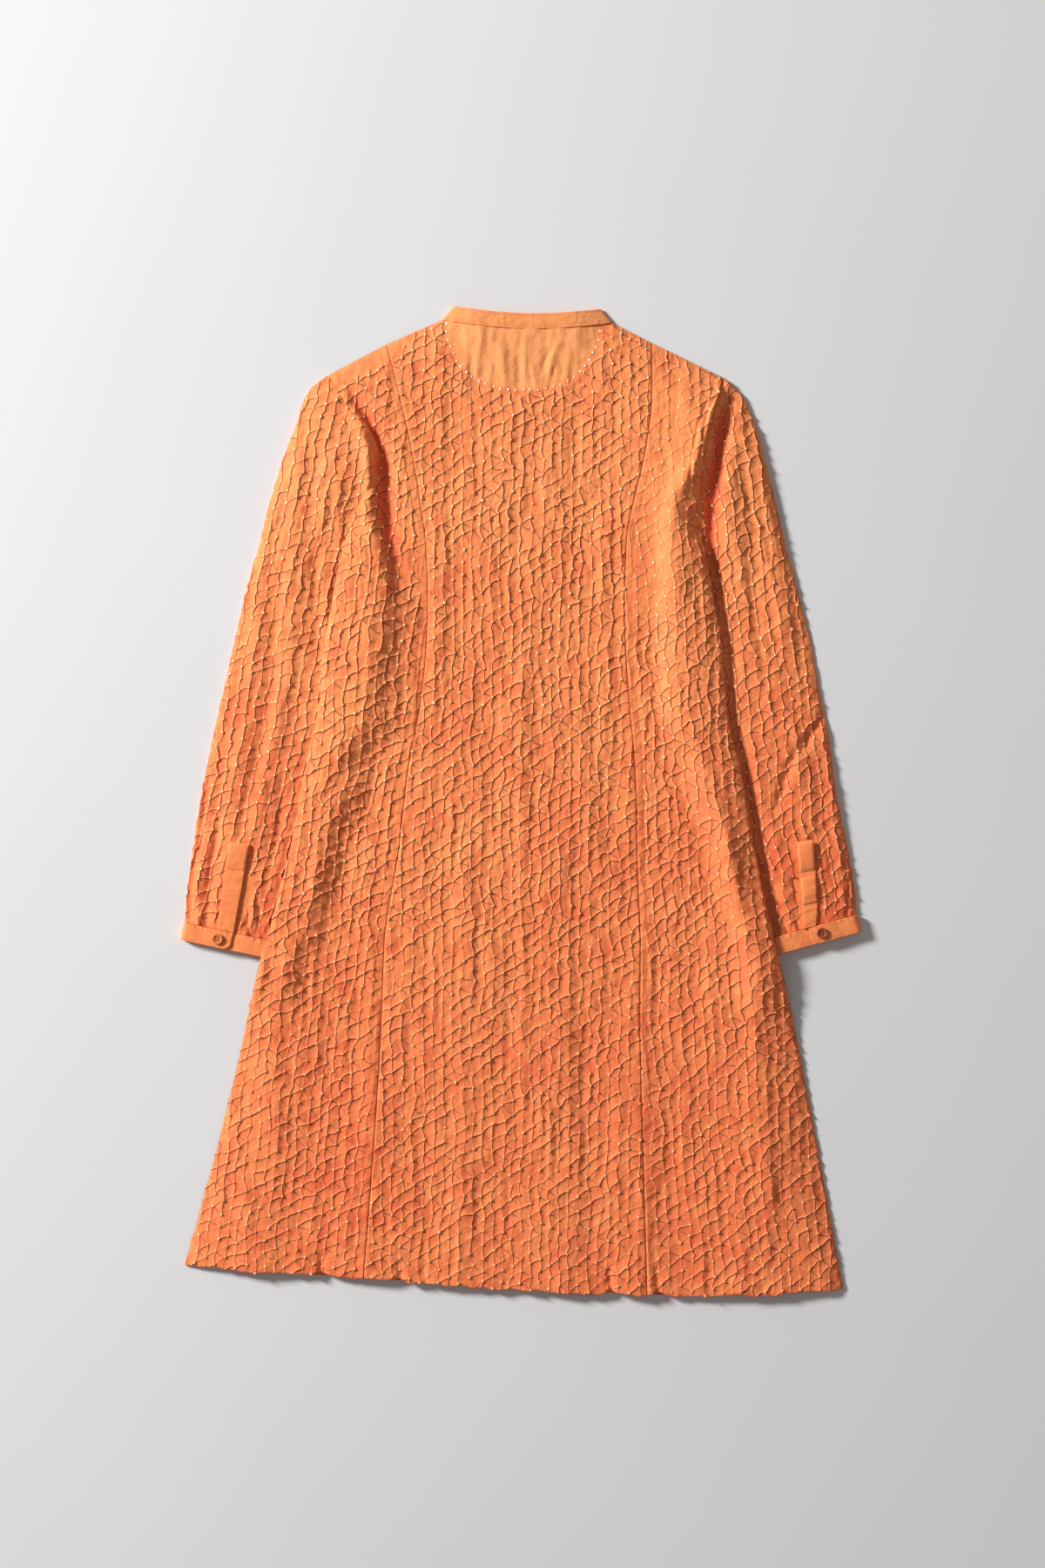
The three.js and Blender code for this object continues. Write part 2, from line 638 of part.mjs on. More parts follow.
// Cuffs: one strip that goes round the wrist and laps over its own end on the upper side.
// Its section is a line of [across, height], thickened by the wall.
function cuffPath(width) {
  const radius = (SLEEVE_HEIGHT - CUFF.wall) / 2;
  const bottom = CUFF.wall / 2;
  const top = bottom + 2 * radius;
  const step = (CUFF.wall + SEAM_GAP) / 2;
  const ease = CUFF.lapEase * width;
  const fold = (centre, direction) => {
    const points = [];
    for (let i = 0; i <= CUFF.foldSteps; i += 1) {
      const turn = (Math.PI * i) / CUFF.foldSteps;
      const x = centre + direction * radius * Math.sin(turn);
      points.push([x, top - radius + radius * Math.cos(turn)]);
    }
    return direction > 0 ? points : points.reverse();
  };
  return [
    [CUFF.underlapEnd * width, top - step],
    [CUFF.overlapEnd * width, top - step],
    [CUFF.overlapEnd * width + ease, top],
    ...fold(width - radius, 1),
    ...fold(radius, -1),
    [CUFF.underlapEnd * width - ease, top],
    [CUFF.underlapEnd * width - WALL, top + step],
    [CUFF.overlapEnd * width, top + step],
  ];
}

function thicken(path, wall) {
  const offset = (sign) => path.map(([x, z], i) => {
    const before = path[Math.max(0, i - 1)];
    const after = path[Math.min(path.length - 1, i + 1)];
    const length = Math.hypot(after[0] - before[0], after[1] - before[1]);
    const normal = [-(after[1] - before[1]) / length, (after[0] - before[0]) / length];
    const reach = (sign * wall) / 2;
    return new THREE.Vector2(x + reach * normal[0], z + reach * normal[1]);
  });
  return new THREE.Shape([...offset(1), ...offset(-1).reverse()]);
}

// The cuff's own frame: origin at the outer end of the cuff seam, X across the wrist towards
// the inner fold, Z towards the hand, Y up.
function cuffFrame(side) {
  const rows = SLEEVES[side];
  const seam = rows[rows.length - 1];
  const outer = toPoint([seam.outerX, seam.outerDown], 0);
  const inner = toPoint([seam.innerX, seam.innerDown], 0);
  const across = inner.clone().sub(outer);
  const width = across.length();
  across.normalize();
  const up = new THREE.Vector3(0, 0, 1);
  const hand = new THREE.Vector3(across.y, -across.x, 0).multiplyScalar(side === 'left' ? 1 : -1);
  const basis = new THREE.Matrix4().makeBasis(across, up, hand);
  basis.setPosition(outer.addScaledVector(hand, SEAM_GAP));
  return { basis, width };
}

function addCuff(side) {
  const { basis, width } = cuffFrame(side);
  const section = thicken(cuffPath(width), CUFF.wall);
  const geometry = new THREE.ExtrudeGeometry(section, { depth: CUFF.height, bevelEnabled: false });
  addPiece(`cuff_${side}`, turnedOutward(geometry.applyMatrix4(basis)), LOOKS.plainCloth);
}

// Buttons: a dished disc with a rim and four sewing holes, on the cuff's overlap
function buttonGeometry() {
  const { radius, thickness, rim, dish, edge, holeRadius, holeSpacing, holeSides } = BUTTON;
  const floor = thickness - dish;
  const profile = [
    [0, 0], [radius - edge, 0], [radius, edge], [radius, thickness - edge],
    [radius - edge, thickness], [radius - rim, thickness], [radius - rim - edge, floor], [0, floor],
  ].map(([r, h]) => new THREE.Vector2(r, h));
  let solid = toSolid(new THREE.LatheGeometry(profile, BUTTON.sides).rotateX(Math.PI / 2));
  for (const [dx, dy] of [[-1, -1], [-1, 1], [1, -1], [1, 1]]) {
    const hole = new THREE.CylinderGeometry(holeRadius, holeRadius, 3 * thickness, holeSides);
    hole.rotateX(Math.PI / 2);
    hole.translate((dx * holeSpacing) / 2, (dy * holeSpacing) / 2, 0);
    solid = solid.subtract(toSolid(hole));
  }
  return toGeometry(solid);
}

function addButton(side, look) {
  const { basis, width } = cuffFrame(side);
  const [across, down] = BUTTON_PLACES[side];
  const surface = SLEEVE_HEIGHT + (CUFF.wall + SEAM_GAP) / 2;
  const place = new THREE.Vector3(across * width, 0, down * CUFF.height).applyMatrix4(basis);
  const button = addPiece(`button_${side}`, buttonGeometry(), look);
  button.position.set(place.x, place.y, surface + SEAM_GAP);
}

addPiece('back_centre', panel(backCentrePoints(), backUnder), LOOKS.tiedCloth);
addPiece('collar', collarGeometry(), LOOKS.plainCloth);
addPiece('front_placket', extrudeUp(placketShape(0), 0, WALL), LOOKS.plainCloth);
for (const side of ['left', 'right']) {
  addPiece(`back_side_${side}`, panel(sidePanelPoints(side), backUnder), LOOKS.tiedCloth);
  addPiece(`front_side_${side}`, panel(sidePanelPoints(side), frontUnder), LOOKS.tiedCloth);
  addPiece(`front_centre_${side}`, frontCentre(side), LOOKS.tiedCloth);
  addSleeve(side);
  addCuff(side);
}
addButton('left', LOOKS.lightButton);
addButton('right', LOOKS.darkButton);

export default dress;
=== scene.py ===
# The looks of a bandhani tunic dress, laid flat with its back up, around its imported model.
# Plan sizes are millimetres, as in the model's source: x to the right, and "down" from the top of
# the collar towards the hem. Meshes are put into metres where they are made.

import bpy
import numpy as np
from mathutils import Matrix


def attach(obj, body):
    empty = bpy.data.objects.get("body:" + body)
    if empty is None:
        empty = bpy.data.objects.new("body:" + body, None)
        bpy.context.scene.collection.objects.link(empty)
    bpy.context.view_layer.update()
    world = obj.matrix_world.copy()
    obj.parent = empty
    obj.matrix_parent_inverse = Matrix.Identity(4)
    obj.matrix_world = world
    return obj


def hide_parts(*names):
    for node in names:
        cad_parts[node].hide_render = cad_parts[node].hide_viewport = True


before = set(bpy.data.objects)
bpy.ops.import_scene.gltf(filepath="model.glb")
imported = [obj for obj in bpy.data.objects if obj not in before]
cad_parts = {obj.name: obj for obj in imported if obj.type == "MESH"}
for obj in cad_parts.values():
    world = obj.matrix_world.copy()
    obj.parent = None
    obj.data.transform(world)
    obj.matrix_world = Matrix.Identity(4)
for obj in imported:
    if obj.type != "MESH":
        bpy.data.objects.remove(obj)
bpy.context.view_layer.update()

# The surface, the light and the camera
# The dress lies on a plain pale grey surface and is seen from straight above. A large soft light
# stands low at the upper left, and weak even light fills the shadows.
VIEW_HEIGHT = 1.602
VIEW_CENTRE = (0.0018, 0.0175)
CAMERA_HEIGHT = 3.4
FILM_HEIGHT = 36.0
SURFACE_HALF = 6.0
SURFACE_GREY = (0.74, 0.741, 0.748)
SURFACE_ROUGHNESS = 0.9
FAINT_MOTTLE = 0.015
FAINT_MOTTLE_SCALE = 3.0
KEY_PLACE = (-4.3, 2.1, 2.45)
KEY_SIZE = 1.15
KEY_POWER = 440.0
FILL = (1.0, 0.94, 0.90)
FILL_STRENGTH = 0.245


def flat_material(name, color, roughness):
    """A colour mottled between 1 - FAINT_MOTTLE and 1 + FAINT_MOTTLE times itself, so that a plain
    surface isn't quite even."""
    material = bpy.data.materials.new(name)
    material.use_nodes = True
    nodes, links = material.node_tree.nodes, material.node_tree.links
    shader = nodes["Principled BSDF"]
    shader.inputs["Roughness"].default_value = roughness
    place = nodes.new("ShaderNodeTexCoord")
    mottle = nodes.new("ShaderNodeTexNoise")
    mottle.inputs["Scale"].default_value = FAINT_MOTTLE_SCALE
    ramp = nodes.new("ShaderNodeMix")
    ramp.data_type = "RGBA"
    ramp.inputs[6].default_value = (*[c * (1 - FAINT_MOTTLE) for c in color], 1)
    ramp.inputs[7].default_value = (*[min(1, c * (1 + FAINT_MOTTLE)) for c in color], 1)
    links.new(place.outputs["Object"], mottle.inputs["Vector"])
    links.new(mottle.outputs["Fac"], ramp.inputs[0])
    links.new(ramp.outputs[2], shader.inputs["Base Color"])
    return material


def add_surface():
    """One square, level at height 0, with the dress in its middle."""
    half = SURFACE_HALF
    corners = [(-half, -half, 0), (half, -half, 0), (half, half, 0), (-half, half, 0)]
    mesh = bpy.data.meshes.new("surface")
    mesh.from_pydata(corners, [], [(0, 1, 2, 3)])
    floor = bpy.data.objects.new("surface", mesh)
    bpy.context.collection.objects.link(floor)
    mesh.materials.append(flat_material("pale grey surface", SURFACE_GREY, SURFACE_ROUGHNESS))


def add_light():
    """A round lamp that is turned to face the origin, and an even light from all round."""
    light = bpy.data.lights.new("key", "AREA")
    light.shape = "DISK"
    light.size = KEY_SIZE
    light.energy = KEY_POWER
    lamp = bpy.data.objects.new("key", light)
    bpy.context.collection.objects.link(lamp)
    lamp.location = KEY_PLACE
    x, y, z = KEY_PLACE
    lamp.rotation_euler = (np.arctan2(np.hypot(x, y), z), 0, np.arctan2(x, -y))
    world = bpy.data.worlds.new("fill")
    bpy.context.scene.world = world
    world.use_nodes = True
    sky = world.node_tree.nodes["Background"]
    sky.inputs["Color"].default_value = (*FILL, 1)
    sky.inputs["Strength"].default_value = FILL_STRENGTH


def add_camera():
    """A camera straight above, whose lens takes in VIEW_HEIGHT metres of the surface."""
    camera = bpy.data.cameras.new("view")
    camera.sensor_fit = "VERTICAL"
    camera.sensor_height = FILM_HEIGHT
    camera.lens = FILM_HEIGHT * CAMERA_HEIGHT / VIEW_HEIGHT
    holder = bpy.data.objects.new("view", camera)
    bpy.context.collection.objects.link(holder)
    holder.location = (*VIEW_CENTRE, CAMERA_HEIGHT)
    bpy.context.scene.camera = holder


add_surface()
add_light()
add_camera()
bpy.context.scene.view_settings.view_transform = "Standard"

# The back: a centre panel and two side panels
# Cut from fine cotton whose dots were pinched up and tied with thread before dyeing. Untied, each
# dot stays a small pale peak, and sharp tucks run from dot to dot. The panels are sewn together
# along two curved seams, with plain strips where the allowance is stitched down.
MM = 0.001
LENGTH = 1007.0
WALL = 2.0
SEAM_GAP = 0.3
HOLLOW = 6.0
EDGE_ROLL = 40.0
SLEEVE_HEIGHT = 10.6
SLEEVE_EDGE = 4.3
LIFT = SLEEVE_HEIGHT + 0.4
LIFT_RAMP = 32.0
LEFT_RAMP = 46.0
LEFT_RIDGE = 0.25
RIDGE_WIDTH = 16.0
FOLD_START = 150.0
UNDERARM = 4
NECK = {
    "centre_x": 6.5, "half_width": 86.5, "left_down": 12.0, "right_down": 15.0,
    "back_dip": 8.0, "front_dip": 60.0,
}
HEM_BOW = {"left": 1.0, "centre": 3.0, "right": 4.0}
DENSE_STEPS = 1500
BODY = dict(zip(
    ["left_x", "left_down", "seam_l_x", "seam_l_down", "seam_r_x", "seam_r_down", "right_x", "right_down",
     "lift", "shelf_l", "shelf_r", "ridge"],
    np.array([
        [-196, 68, -137, 37, 134, 36, 206, 71, 0, -160, 168, 0],
        [-177, 100, -129, 68, 134, 69, 196, 107, 0, -160, 168, 5],
        [-155, 130, -121, 101, 133, 105, 187, 143, 0, -160, 168, 8],
        [-145, 170, -111, 146, 125, 157, 183, 182, 0, -160, 168, 8],
        [-174, 219, -100, 215, 110, 222, 182, 219, 0.5, -160, 168, 6],
        [-184, 255, -96, 255, 107, 263, 189, 255, 1, -152, 165, 4],
        [-190, 290, -95, 299, 106, 308, 196, 292, 1, -148, 165, 2],
        [-201, 352, -97, 357, 108, 361, 206, 354, 1, -152, 165, 0],
        [-206, 410, -104, 415, 112, 415, 210, 413, 1, -160, 168, 0],
        [-221, 477, -115, 473, 117, 473, 225, 480, 1, -190, 192, 0],
        [-236, 557, -125, 557, 119, 562, 240, 562, 1, -218, 216, 0],
        [-255, 630, -137, 628, 122, 637, 255, 632, 1, -240, 241, 0],
        [-267, 671, -140, 671, 122, 675, 265, 671, 1, -250, 250, 0],
        [-285, 753, -143, 753, 122, 757, 283, 753, 0, -262, 262, 0],
        [-311, 860, -150, 860, 125, 860, 304, 864, 0, -290, 280, 0],
        [-343, 976, -160, 989, 129, 1006, 329, 1000, 0, -320, 300, 0],
    ], float).T))
LAST_ROW = len(BODY["left_x"]) - 1
SOFT_STOP = 0.6
LOWEST = 0.1


def smooth(value):
    """0 below 0, 1 above 1, and 3t² - 2t³ between."""
    t = np.clip(value, 0, 1)
    return t * t * (3 - 2 * t)


def mix(a, b, t):
    """a where t is 0, b where it is 1, and in proportion between."""
    return a + (b - a) * t


def kept_above(value, lowest):
    """The value, eased so that it never goes below the lowest: the lowest plus log(1 + e^x), where x
    is the value's height above the lowest, both in steps of SOFT_STOP."""
    return lowest + SOFT_STOP * np.logaddexp(0, (value - lowest) / SOFT_STOP)


def curve_at(column, place):
    """A column of a table at places between its rows, on the Catmull-Rom curve through them."""
    place = np.asarray(place, float)
    last = len(column) - 1
    row = np.clip(np.floor(place).astype(int), 0, last - 1)
    t = place - row
    a, b, c, d = (column[np.clip(row + k, 0, last)] for k in (-1, 0, 1, 2))
    bend = 2 * a - 5 * b + 4 * c - d
    twist = -a + 3 * b - 3 * c + d
    return 0.5 * (2 * b + (c - a) * t + bend * t ** 2 + twist * t ** 3)


def ease_at(column, place):
    """The same, easing from row to row, so that it never leaves the rows' own range."""
    place = np.asarray(place, float)
    row = np.clip(np.floor(place).astype(int), 0, len(column) - 2)
    return mix(column[row], column[row + 1], smooth(place - row))


def body_line(name, place):
    """Plan points on one of the body's lines, at places between the rows of its table."""
    return np.stack([curve_at(BODY[name + "_x"], place), curve_at(BODY[name + "_down"], place)], -1)


def neck_point(share, dip):
    """The neckline at a share of its half width: its end height plus a parabola of the given dip."""
    share = np.asarray(share, float)
    end_down = mix(NECK["left_down"], NECK["right_down"], (share + 1) / 2)
    return np.stack([NECK["centre_x"] + NECK["half_width"] * share, end_down + dip * (1 - share ** 2)], -1)


def distance_to_line(points, line):
    """The distance from each plan point to the nearest stretch of a line of plan points."""
    best = np.full(points.shape[:-1], np.inf)
    for a, b in zip(line[:-1], line[1:]):
        along = b - a
        t = np.clip(((points - a) @ along) / (along @ along), 0, 1)
        best = np.minimum(best, np.linalg.norm(points - a - t[..., None] * along, axis=-1))
    return best


SIDE_PLACES = np.linspace(UNDERARM, LAST_ROW, 45)
CLOSED_LINES = [
    body_line("left", SIDE_PLACES),
    body_line("right", SIDE_PLACES),
    np.array([body_line("left", 0), body_line("seam_l", 0), neck_point(-1, 0)]),
    np.array([body_line("right", 0), body_line("seam_r", 0), neck_point(1, 0)]),
]
ARMHOLE_PLACES = np.linspace(0, UNDERARM, 25)
ARMHOLES = {side: body_line(side, ARMHOLE_PLACES) for side in ("left", "right")}
SKIRT_FOLDS = [
    # top x, top down, hem x, height, width
    (-245, 660, -268, 2.4, 30),
    (-143, 700, -160, 2.8, 26),
    (-38, 480, -62, 1.8, 38),
    (38, 440, 44, 2.2, 34),
    (122, 700, 118, 2.6, 20),
    (222, 560, 232, 3.0, 40),
]


def hollow_at(closed_distance):
    """The gap between front and back, which closes in a round roll towards their shared seams."""
    opened = 1 - (1 - np.clip(closed_distance / EDGE_ROLL, 0, 1)) ** 2
    return mix(SEAM_GAP, HOLLOW, opened)


def lift_at(place, points):
    """How far the sleeve beneath lifts the body: full on the shelf at each side, then a ramp."""
    x = points[..., 0]
    on_left = smooth((ease_at(BODY["shelf_l"], place) + LEFT_RAMP - x) / LEFT_RAMP)
    on_right = smooth((x - ease_at(BODY["shelf_r"], place) + LIFT_RAMP) / LIFT_RAMP)
    return LIFT * ease_at(BODY["lift"], place) * np.maximum(on_left, on_right)


def ridge_at(place, points):
    """The ridge beside each armhole: t times e^(1 - t), with t the distance in ridge widths. It is
    lower at the left."""
    from_left = np.linalg.norm(points - body_line("left", place), axis=-1)
    from_right = np.linalg.norm(points - body_line("right", place), axis=-1)
    t = np.minimum(from_left, from_right) / RIDGE_WIDTH
    share = np.where(from_left < from_right, LEFT_RIDGE, 1)
    return share * ease_at(BODY["ridge"], place) * t * np.exp(1 - t)


def skirt_fold_at(points):
    """The sum of the long soft folds, each a bell across and growing from its top."""
    x, down = points[..., 0], points[..., 1]
    total = 0
    for top_x, top_down, hem_x, height, width in SKIRT_FOLDS:
        centre = mix(top_x, hem_x, (down - top_down) / (LENGTH - top_down))
        grown = smooth((down - top_down) / FOLD_START)
        total = total + height * grown * np.exp(-((x - centre) / width) ** 2)
    return total


def back_under(place, points, closed_distance):
    """The height of the back's underside: the lift, the front's wall, the gap, and the back's rises."""
    rise = ridge_at(place, points) + skirt_fold_at(points)
    return lift_at(place, points) + WALL + hollow_at(closed_distance) + rise


def coons(left, right, top, bottom, u, v):
    """The patch between four edges: its sides blended across, plus its ends blended down, less the
    blend of its four corners."""
    u, v = u[None, :, None], v[:, None, None]
    sides = mix(left[:, None], right[:, None], u)
    ends = mix(top[None], bottom[None], v)
    corners = mix(mix(top[0], top[-1], u), mix(bottom[0], bottom[-1], u), v)
    return sides + ends - corners


def shares(values):
    """The values, scaled so that they go from 0 to 1."""
    return (values - values[0]) / (values[-1] - values[0])


def edge_between(start, end, t, bow):
    """A line from start to end at the shares t, bowed towards the hem by a parabola."""
    line = mix(start, end, t[:, None])
    line[:, 1] += bow * 4 * t * (1 - t)
    return line


def even_places(names, count):
    """Places down the body that are evenly spaced along the mean of two of its lines."""
    dense = np.linspace(0, LAST_ROW, DENSE_STEPS)
    middle = (body_line(names[0], dense) + body_line(names[1], dense)) / 2
    run = np.r_[0, np.cumsum(np.linalg.norm(np.diff(middle, axis=0), axis=1))]
    return np.interp(np.linspace(0, run[-1], count), run, dense)


def side_panel(side, rows, columns):
    """Places and plan points of a side panel, from its left line to its right one."""
    names = ("left", "seam_l") if side == "left" else ("seam_r", "right")
    place = even_places(names, rows)
    start, end = body_line(names[0], place), body_line(names[1], place)
    if side == "left":
        end[:, 0] -= SEAM_GAP / 2
    else:
        start[:, 0] += SEAM_GAP / 2
    u = np.linspace(0, 1, columns)
    top = edge_between(start[0], end[0], u, 0)
    hem = edge_between(start[-1], end[-1], u, HEM_BOW[side])
    return place, coons(start, end, top, hem, u, shares(start[:, 1]))


def centre_panel(rows, columns):
    """Places and plan points of the back's centre panel, whose top edge has the neckline in it."""
    place = even_places(("seam_l", "seam_r"), rows)
    start, end = body_line("seam_l", place), body_line("seam_r", place)
    start[:, 0] += SEAM_GAP / 2
    end[:, 0] -= SEAM_GAP / 2
    neck_ends = neck_point([-1, 1], 0)[:, 0]
    x = np.linspace(start[0, 0], end[0, 0], columns)
    for corner in neck_ends:
        x[np.argmin(abs(x - corner))] = corner
    share = np.clip((x - NECK["centre_x"]) / NECK["half_width"], -1, 1)
    neck = neck_point(share, NECK["back_dip"])[:, 1]
    left_shoulder = mix(start[0, 1], neck[0], (x - x[0]) / (neck_ends[0] - x[0]))
    right_shoulder = mix(neck[-1], end[0, 1], (x - neck_ends[1]) / (x[-1] - neck_ends[1]))
    down = np.where(x < neck_ends[0], left_shoulder, np.where(x > neck_ends[1], right_shoulder, neck))
    top = np.stack([x, down], -1)
    u = shares(x)
    hem = edge_between(start[-1], end[-1], u, HEM_BOW["centre"])
    return place, coons(start, end, top, hem, u, shares(start[:, 1]))


NOISE_SIDE = 64
LAYER_SHIFT = (17.3, 9.1)
CHANCE_LINES = 61
CHANCE_PARTS = 67
RANDOM = np.random.default_rng(11)
NOISE = RANDOM.uniform(-1, 1, (NOISE_SIDE, NOISE_SIDE))
TUCK_CHANCE = RANDOM.uniform(0, 1, (3, CHANCE_LINES, CHANCE_PARTS))


def soft_noise(x, y, size, layer=0):
    """Smooth noise from -1 to 1: random values on a square grid of that size, eased between its
    corners. Each layer starts at another place of the grid."""
    gx, gy = x / size + LAYER_SHIFT[0] * layer, y / size + LAYER_SHIFT[1] * layer
    ix, iy = np.floor(gx).astype(int), np.floor(gy).astype(int)
    tx, ty = smooth(gx - ix), smooth(gy - iy)

    def corner(i, j):
        """The random value at a corner of each point's own square of the grid."""
        return NOISE[(iy + j) % NOISE_SIDE, (ix + i) % NOISE_SIDE]
    return mix(mix(corner(0, 0), corner(1, 0), tx), mix(corner(0, 1), corner(1, 1), tx), ty)


# The tied dots stand in upright columns, each shifted by half a step from its neighbours.
COLUMN_STEP = 10.1
DOT_STEP = 13.1
PAIR_STEP = 2 * COLUMN_STEP
SLANT_STEP = PAIR_STEP * DOT_STEP / np.hypot(PAIR_STEP, DOT_STEP)
TUCK_HEIGHT = 0.63
TUCK_SLOPES = {"gentle": 2.0, "steep": 1.0}
DOT_HEIGHT = 0.7
DOT_WIDTH = 1.9
CELL_PUFF = 0.45
CELL_PUFF_SIZE = 4.2
CELL_PUFF_STRETCH = 0.55
OWN_CHANCE = 0.5
SHARED_CHANCE = {"share": 0.3, "reach": 0.75, "run": 3.1, "apart": 3.7, "layer": 7}
REGION_CHANCE = {"share": 0.2, "size": 55.0, "layer": 11}
WANDER = [
    # size, reach, layer of noise
    (75, 3.2, 1),
    (24, 2.4, 2),
    (10, 1.7, 3),
    (4.6, 0.85, 40),
]


def dot_grid(points, lean, shift=0.0):
    """Where plan points lie among the dots: u in pairs of columns and v in dots, on axes that lean by
    the slope given, with the slow wandering of hand-tied rows."""
    x, down = points[..., 0], points[..., 1]
    scale = 1 / np.hypot(1, lean)
    across = (x - lean * down) * scale
    along = (down + lean * x) * scale
    wander_x = wander_y = 0
    for size, reach, layer in WANDER:
        wander_x = wander_x + reach * soft_noise(x, down, size, layer)
        wander_y = wander_y + reach * soft_noise(x, down, size, layer + 3)
    u = (across + wander_x) / PAIR_STEP + shift
    v = (along + wander_y) / DOT_STEP + shift
    return u, v


def tuck_strengths(u, v, gains):
    """How strongly the cloth is pinched along the nearest upright, rising and falling tuck. Each
    stretch from dot to dot has its own chance, which its neighbours on the line partly share. A
    family's gains are the chances where it starts to strengthen and is full, and both strengths."""
    column = np.round(2 * u).astype(int)
    rising = np.round(v + u).astype(int)
    falling = np.round(v - u).astype(int)
    stretch = np.floor(2 * u).astype(int)
    found = []
    edges = [(column, np.floor(v - 0.5 * (column % 2)).astype(int)), (rising, stretch), (falling, stretch)]
    for family, (line, part) in enumerate(edges):
        own = TUCK_CHANCE[family, line % CHANCE_LINES, part % CHANCE_PARTS]
        line_noise = soft_noise(
            line * SHARED_CHANCE["apart"], part * 1.0, SHARED_CHANCE["run"], SHARED_CHANCE["layer"] + family)
        shared = 0.5 + SHARED_CHANCE["reach"] * line_noise
        region_noise = soft_noise(
            u * PAIR_STEP, v * DOT_STEP, REGION_CHANCE["size"], REGION_CHANCE["layer"] + family)
        region = 0.5 + 0.5 * region_noise
        chance = OWN_CHANCE * own + SHARED_CHANCE["share"] * shared + REGION_CHANCE["share"] * region
        start, full, low, high = gains[family]
        found.append(mix(low, high, smooth((chance - start) / (full - start))))
    return np.stack(found, -1)


def knot_distance(u, v):
    """Millimetres to the nearest dot of either set, and that dot's own place."""
    near_u, near_v = np.round(u), np.round(v)
    far_u, far_v = np.round(u - 0.5) + 0.5, np.round(v - 0.5) + 0.5
    near = np.hypot((u - near_u) * PAIR_STEP, (v - near_v) * DOT_STEP)
    far = np.hypot((u - far_u) * PAIR_STEP, (v - far_v) * DOT_STEP)
    use = near <= far
    return np.where(use, near, far), np.where(use, near_u, far_u), np.where(use, near_v, far_v)


def tied_relief(u, v, strength):
    """The height of the pinched cloth. Each tuck is exp(-(distance/width)²), with one width for its
    gentle side and another for its steep one. Each dot adds a small peak of the same form, and soft
    noise puffs up the cells between them."""
    offsets = [
        (2 * u - np.round(2 * u)) * COLUMN_STEP,
        (v + u - np.round(v + u)) * SLANT_STEP,
        (v - u - np.round(v - u)) * SLANT_STEP,
    ]
    height = 0
    for family, offset in enumerate(offsets):
        width = np.where(offset < 0, TUCK_SLOPES["gentle"], TUCK_SLOPES["steep"])
        height = np.maximum(height, strength[..., family] * np.exp(-(offset / width) ** 2))
    distance, _, _ = knot_distance(u, v)
    peak = np.exp(-(distance / DOT_WIDTH) ** 2)
    puff = soft_noise(u * PAIR_STEP, v * DOT_STEP * CELL_PUFF_STRETCH, CELL_PUFF_SIZE, 44)
    return TUCK_HEIGHT * height + DOT_HEIGHT * peak + CELL_PUFF * puff


def grid_normals(points):
    """Unit normals of a grid of points, from the cross product of its two directions."""
    normal = np.cross(np.gradient(points, axis=0), np.gradient(points, axis=1))
    return normal / np.maximum(np.linalg.norm(normal, axis=-1, keepdims=True), 1e-9)


def grid_faces(rows, columns, closed=False, ring=False):
    """Corners of the quads of a grid, row by row. A closed grid joins its last column to its first,
    and a ring its last row to its first."""
    row = np.arange(rows if ring else rows - 1)[:, None]
    column = np.arange(columns if closed else columns - 1)[None, :]
    after, below = (column + 1) % columns, (row + 1) % rows
    above, under = row * columns, below * columns
    corners = [above + column, above + after, under + after, under + column]
    return np.stack([c + 0 * row for c in corners], -1).reshape(-1, 4)


def cap_faces(rows, columns, mirror):
    """Triangles that close the two ends of a tube of grid rows: in its first and last row each column
    k is joined to column mirror - k."""
    k = np.arange((mirror - columns) // 2, mirror // 2 + 1)
    pairs = [(k, k + 1, mirror - k - 1), (k, mirror - k - 1, mirror - k)]
    last = np.concatenate([np.stack(pair, -1) for pair in pairs]) % columns
    whole = (last[:, 0] != last[:, 1]) & (last[:, 1] != last[:, 2]) & (last[:, 0] != last[:, 2])
    last = last[whole]
    return np.concatenate([last[:, ::-1], last + (rows - 1) * columns])


def new_piece(name, points, faces, material, attributes=()):
    """A smooth mesh of millimetre points, turned into metres, with colour attributes on its points.
    faces is one array, or a list of arrays of quads and of triangles."""
    points = points.reshape(-1, 3) * MM
    lists = faces if isinstance(faces, list) else [faces]
    corners = np.concatenate([part.ravel() for part in lists]).astype(np.int32)
    sizes = np.concatenate([np.full(len(part), part.shape[1]) for part in lists])
    mesh = bpy.data.meshes.new(name)
    mesh.vertices.add(len(points))
    mesh.vertices.foreach_set("co", points.astype(np.float32).ravel())
    mesh.loops.add(len(corners))
    mesh.loops.foreach_set("vertex_index", corners)
    mesh.polygons.add(len(sizes))
    mesh.polygons.foreach_set("loop_start", (np.cumsum(sizes) - sizes).astype(np.int32))
    mesh.polygons.foreach_set("use_smooth", np.ones(len(sizes), bool))
    mesh.update(calc_edges=True)
    for label, values in dict(attributes).items():
        layer = mesh.attributes.new(label, "FLOAT_COLOR", "POINT")
        layer.data.foreach_set("color", values.reshape(-1, 4).astype(np.float32).ravel())
    mesh.materials.append(material)
    piece = bpy.data.objects.new(name, mesh)
    bpy.context.collection.objects.link(piece)
    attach(piece, "root")
    return piece


def to_model(plan, height):
    """Plan points and heights as model points: x, half the length less down, height."""
    return np.stack([plan[..., 0], LENGTH / 2 - plan[..., 1], height], -1)


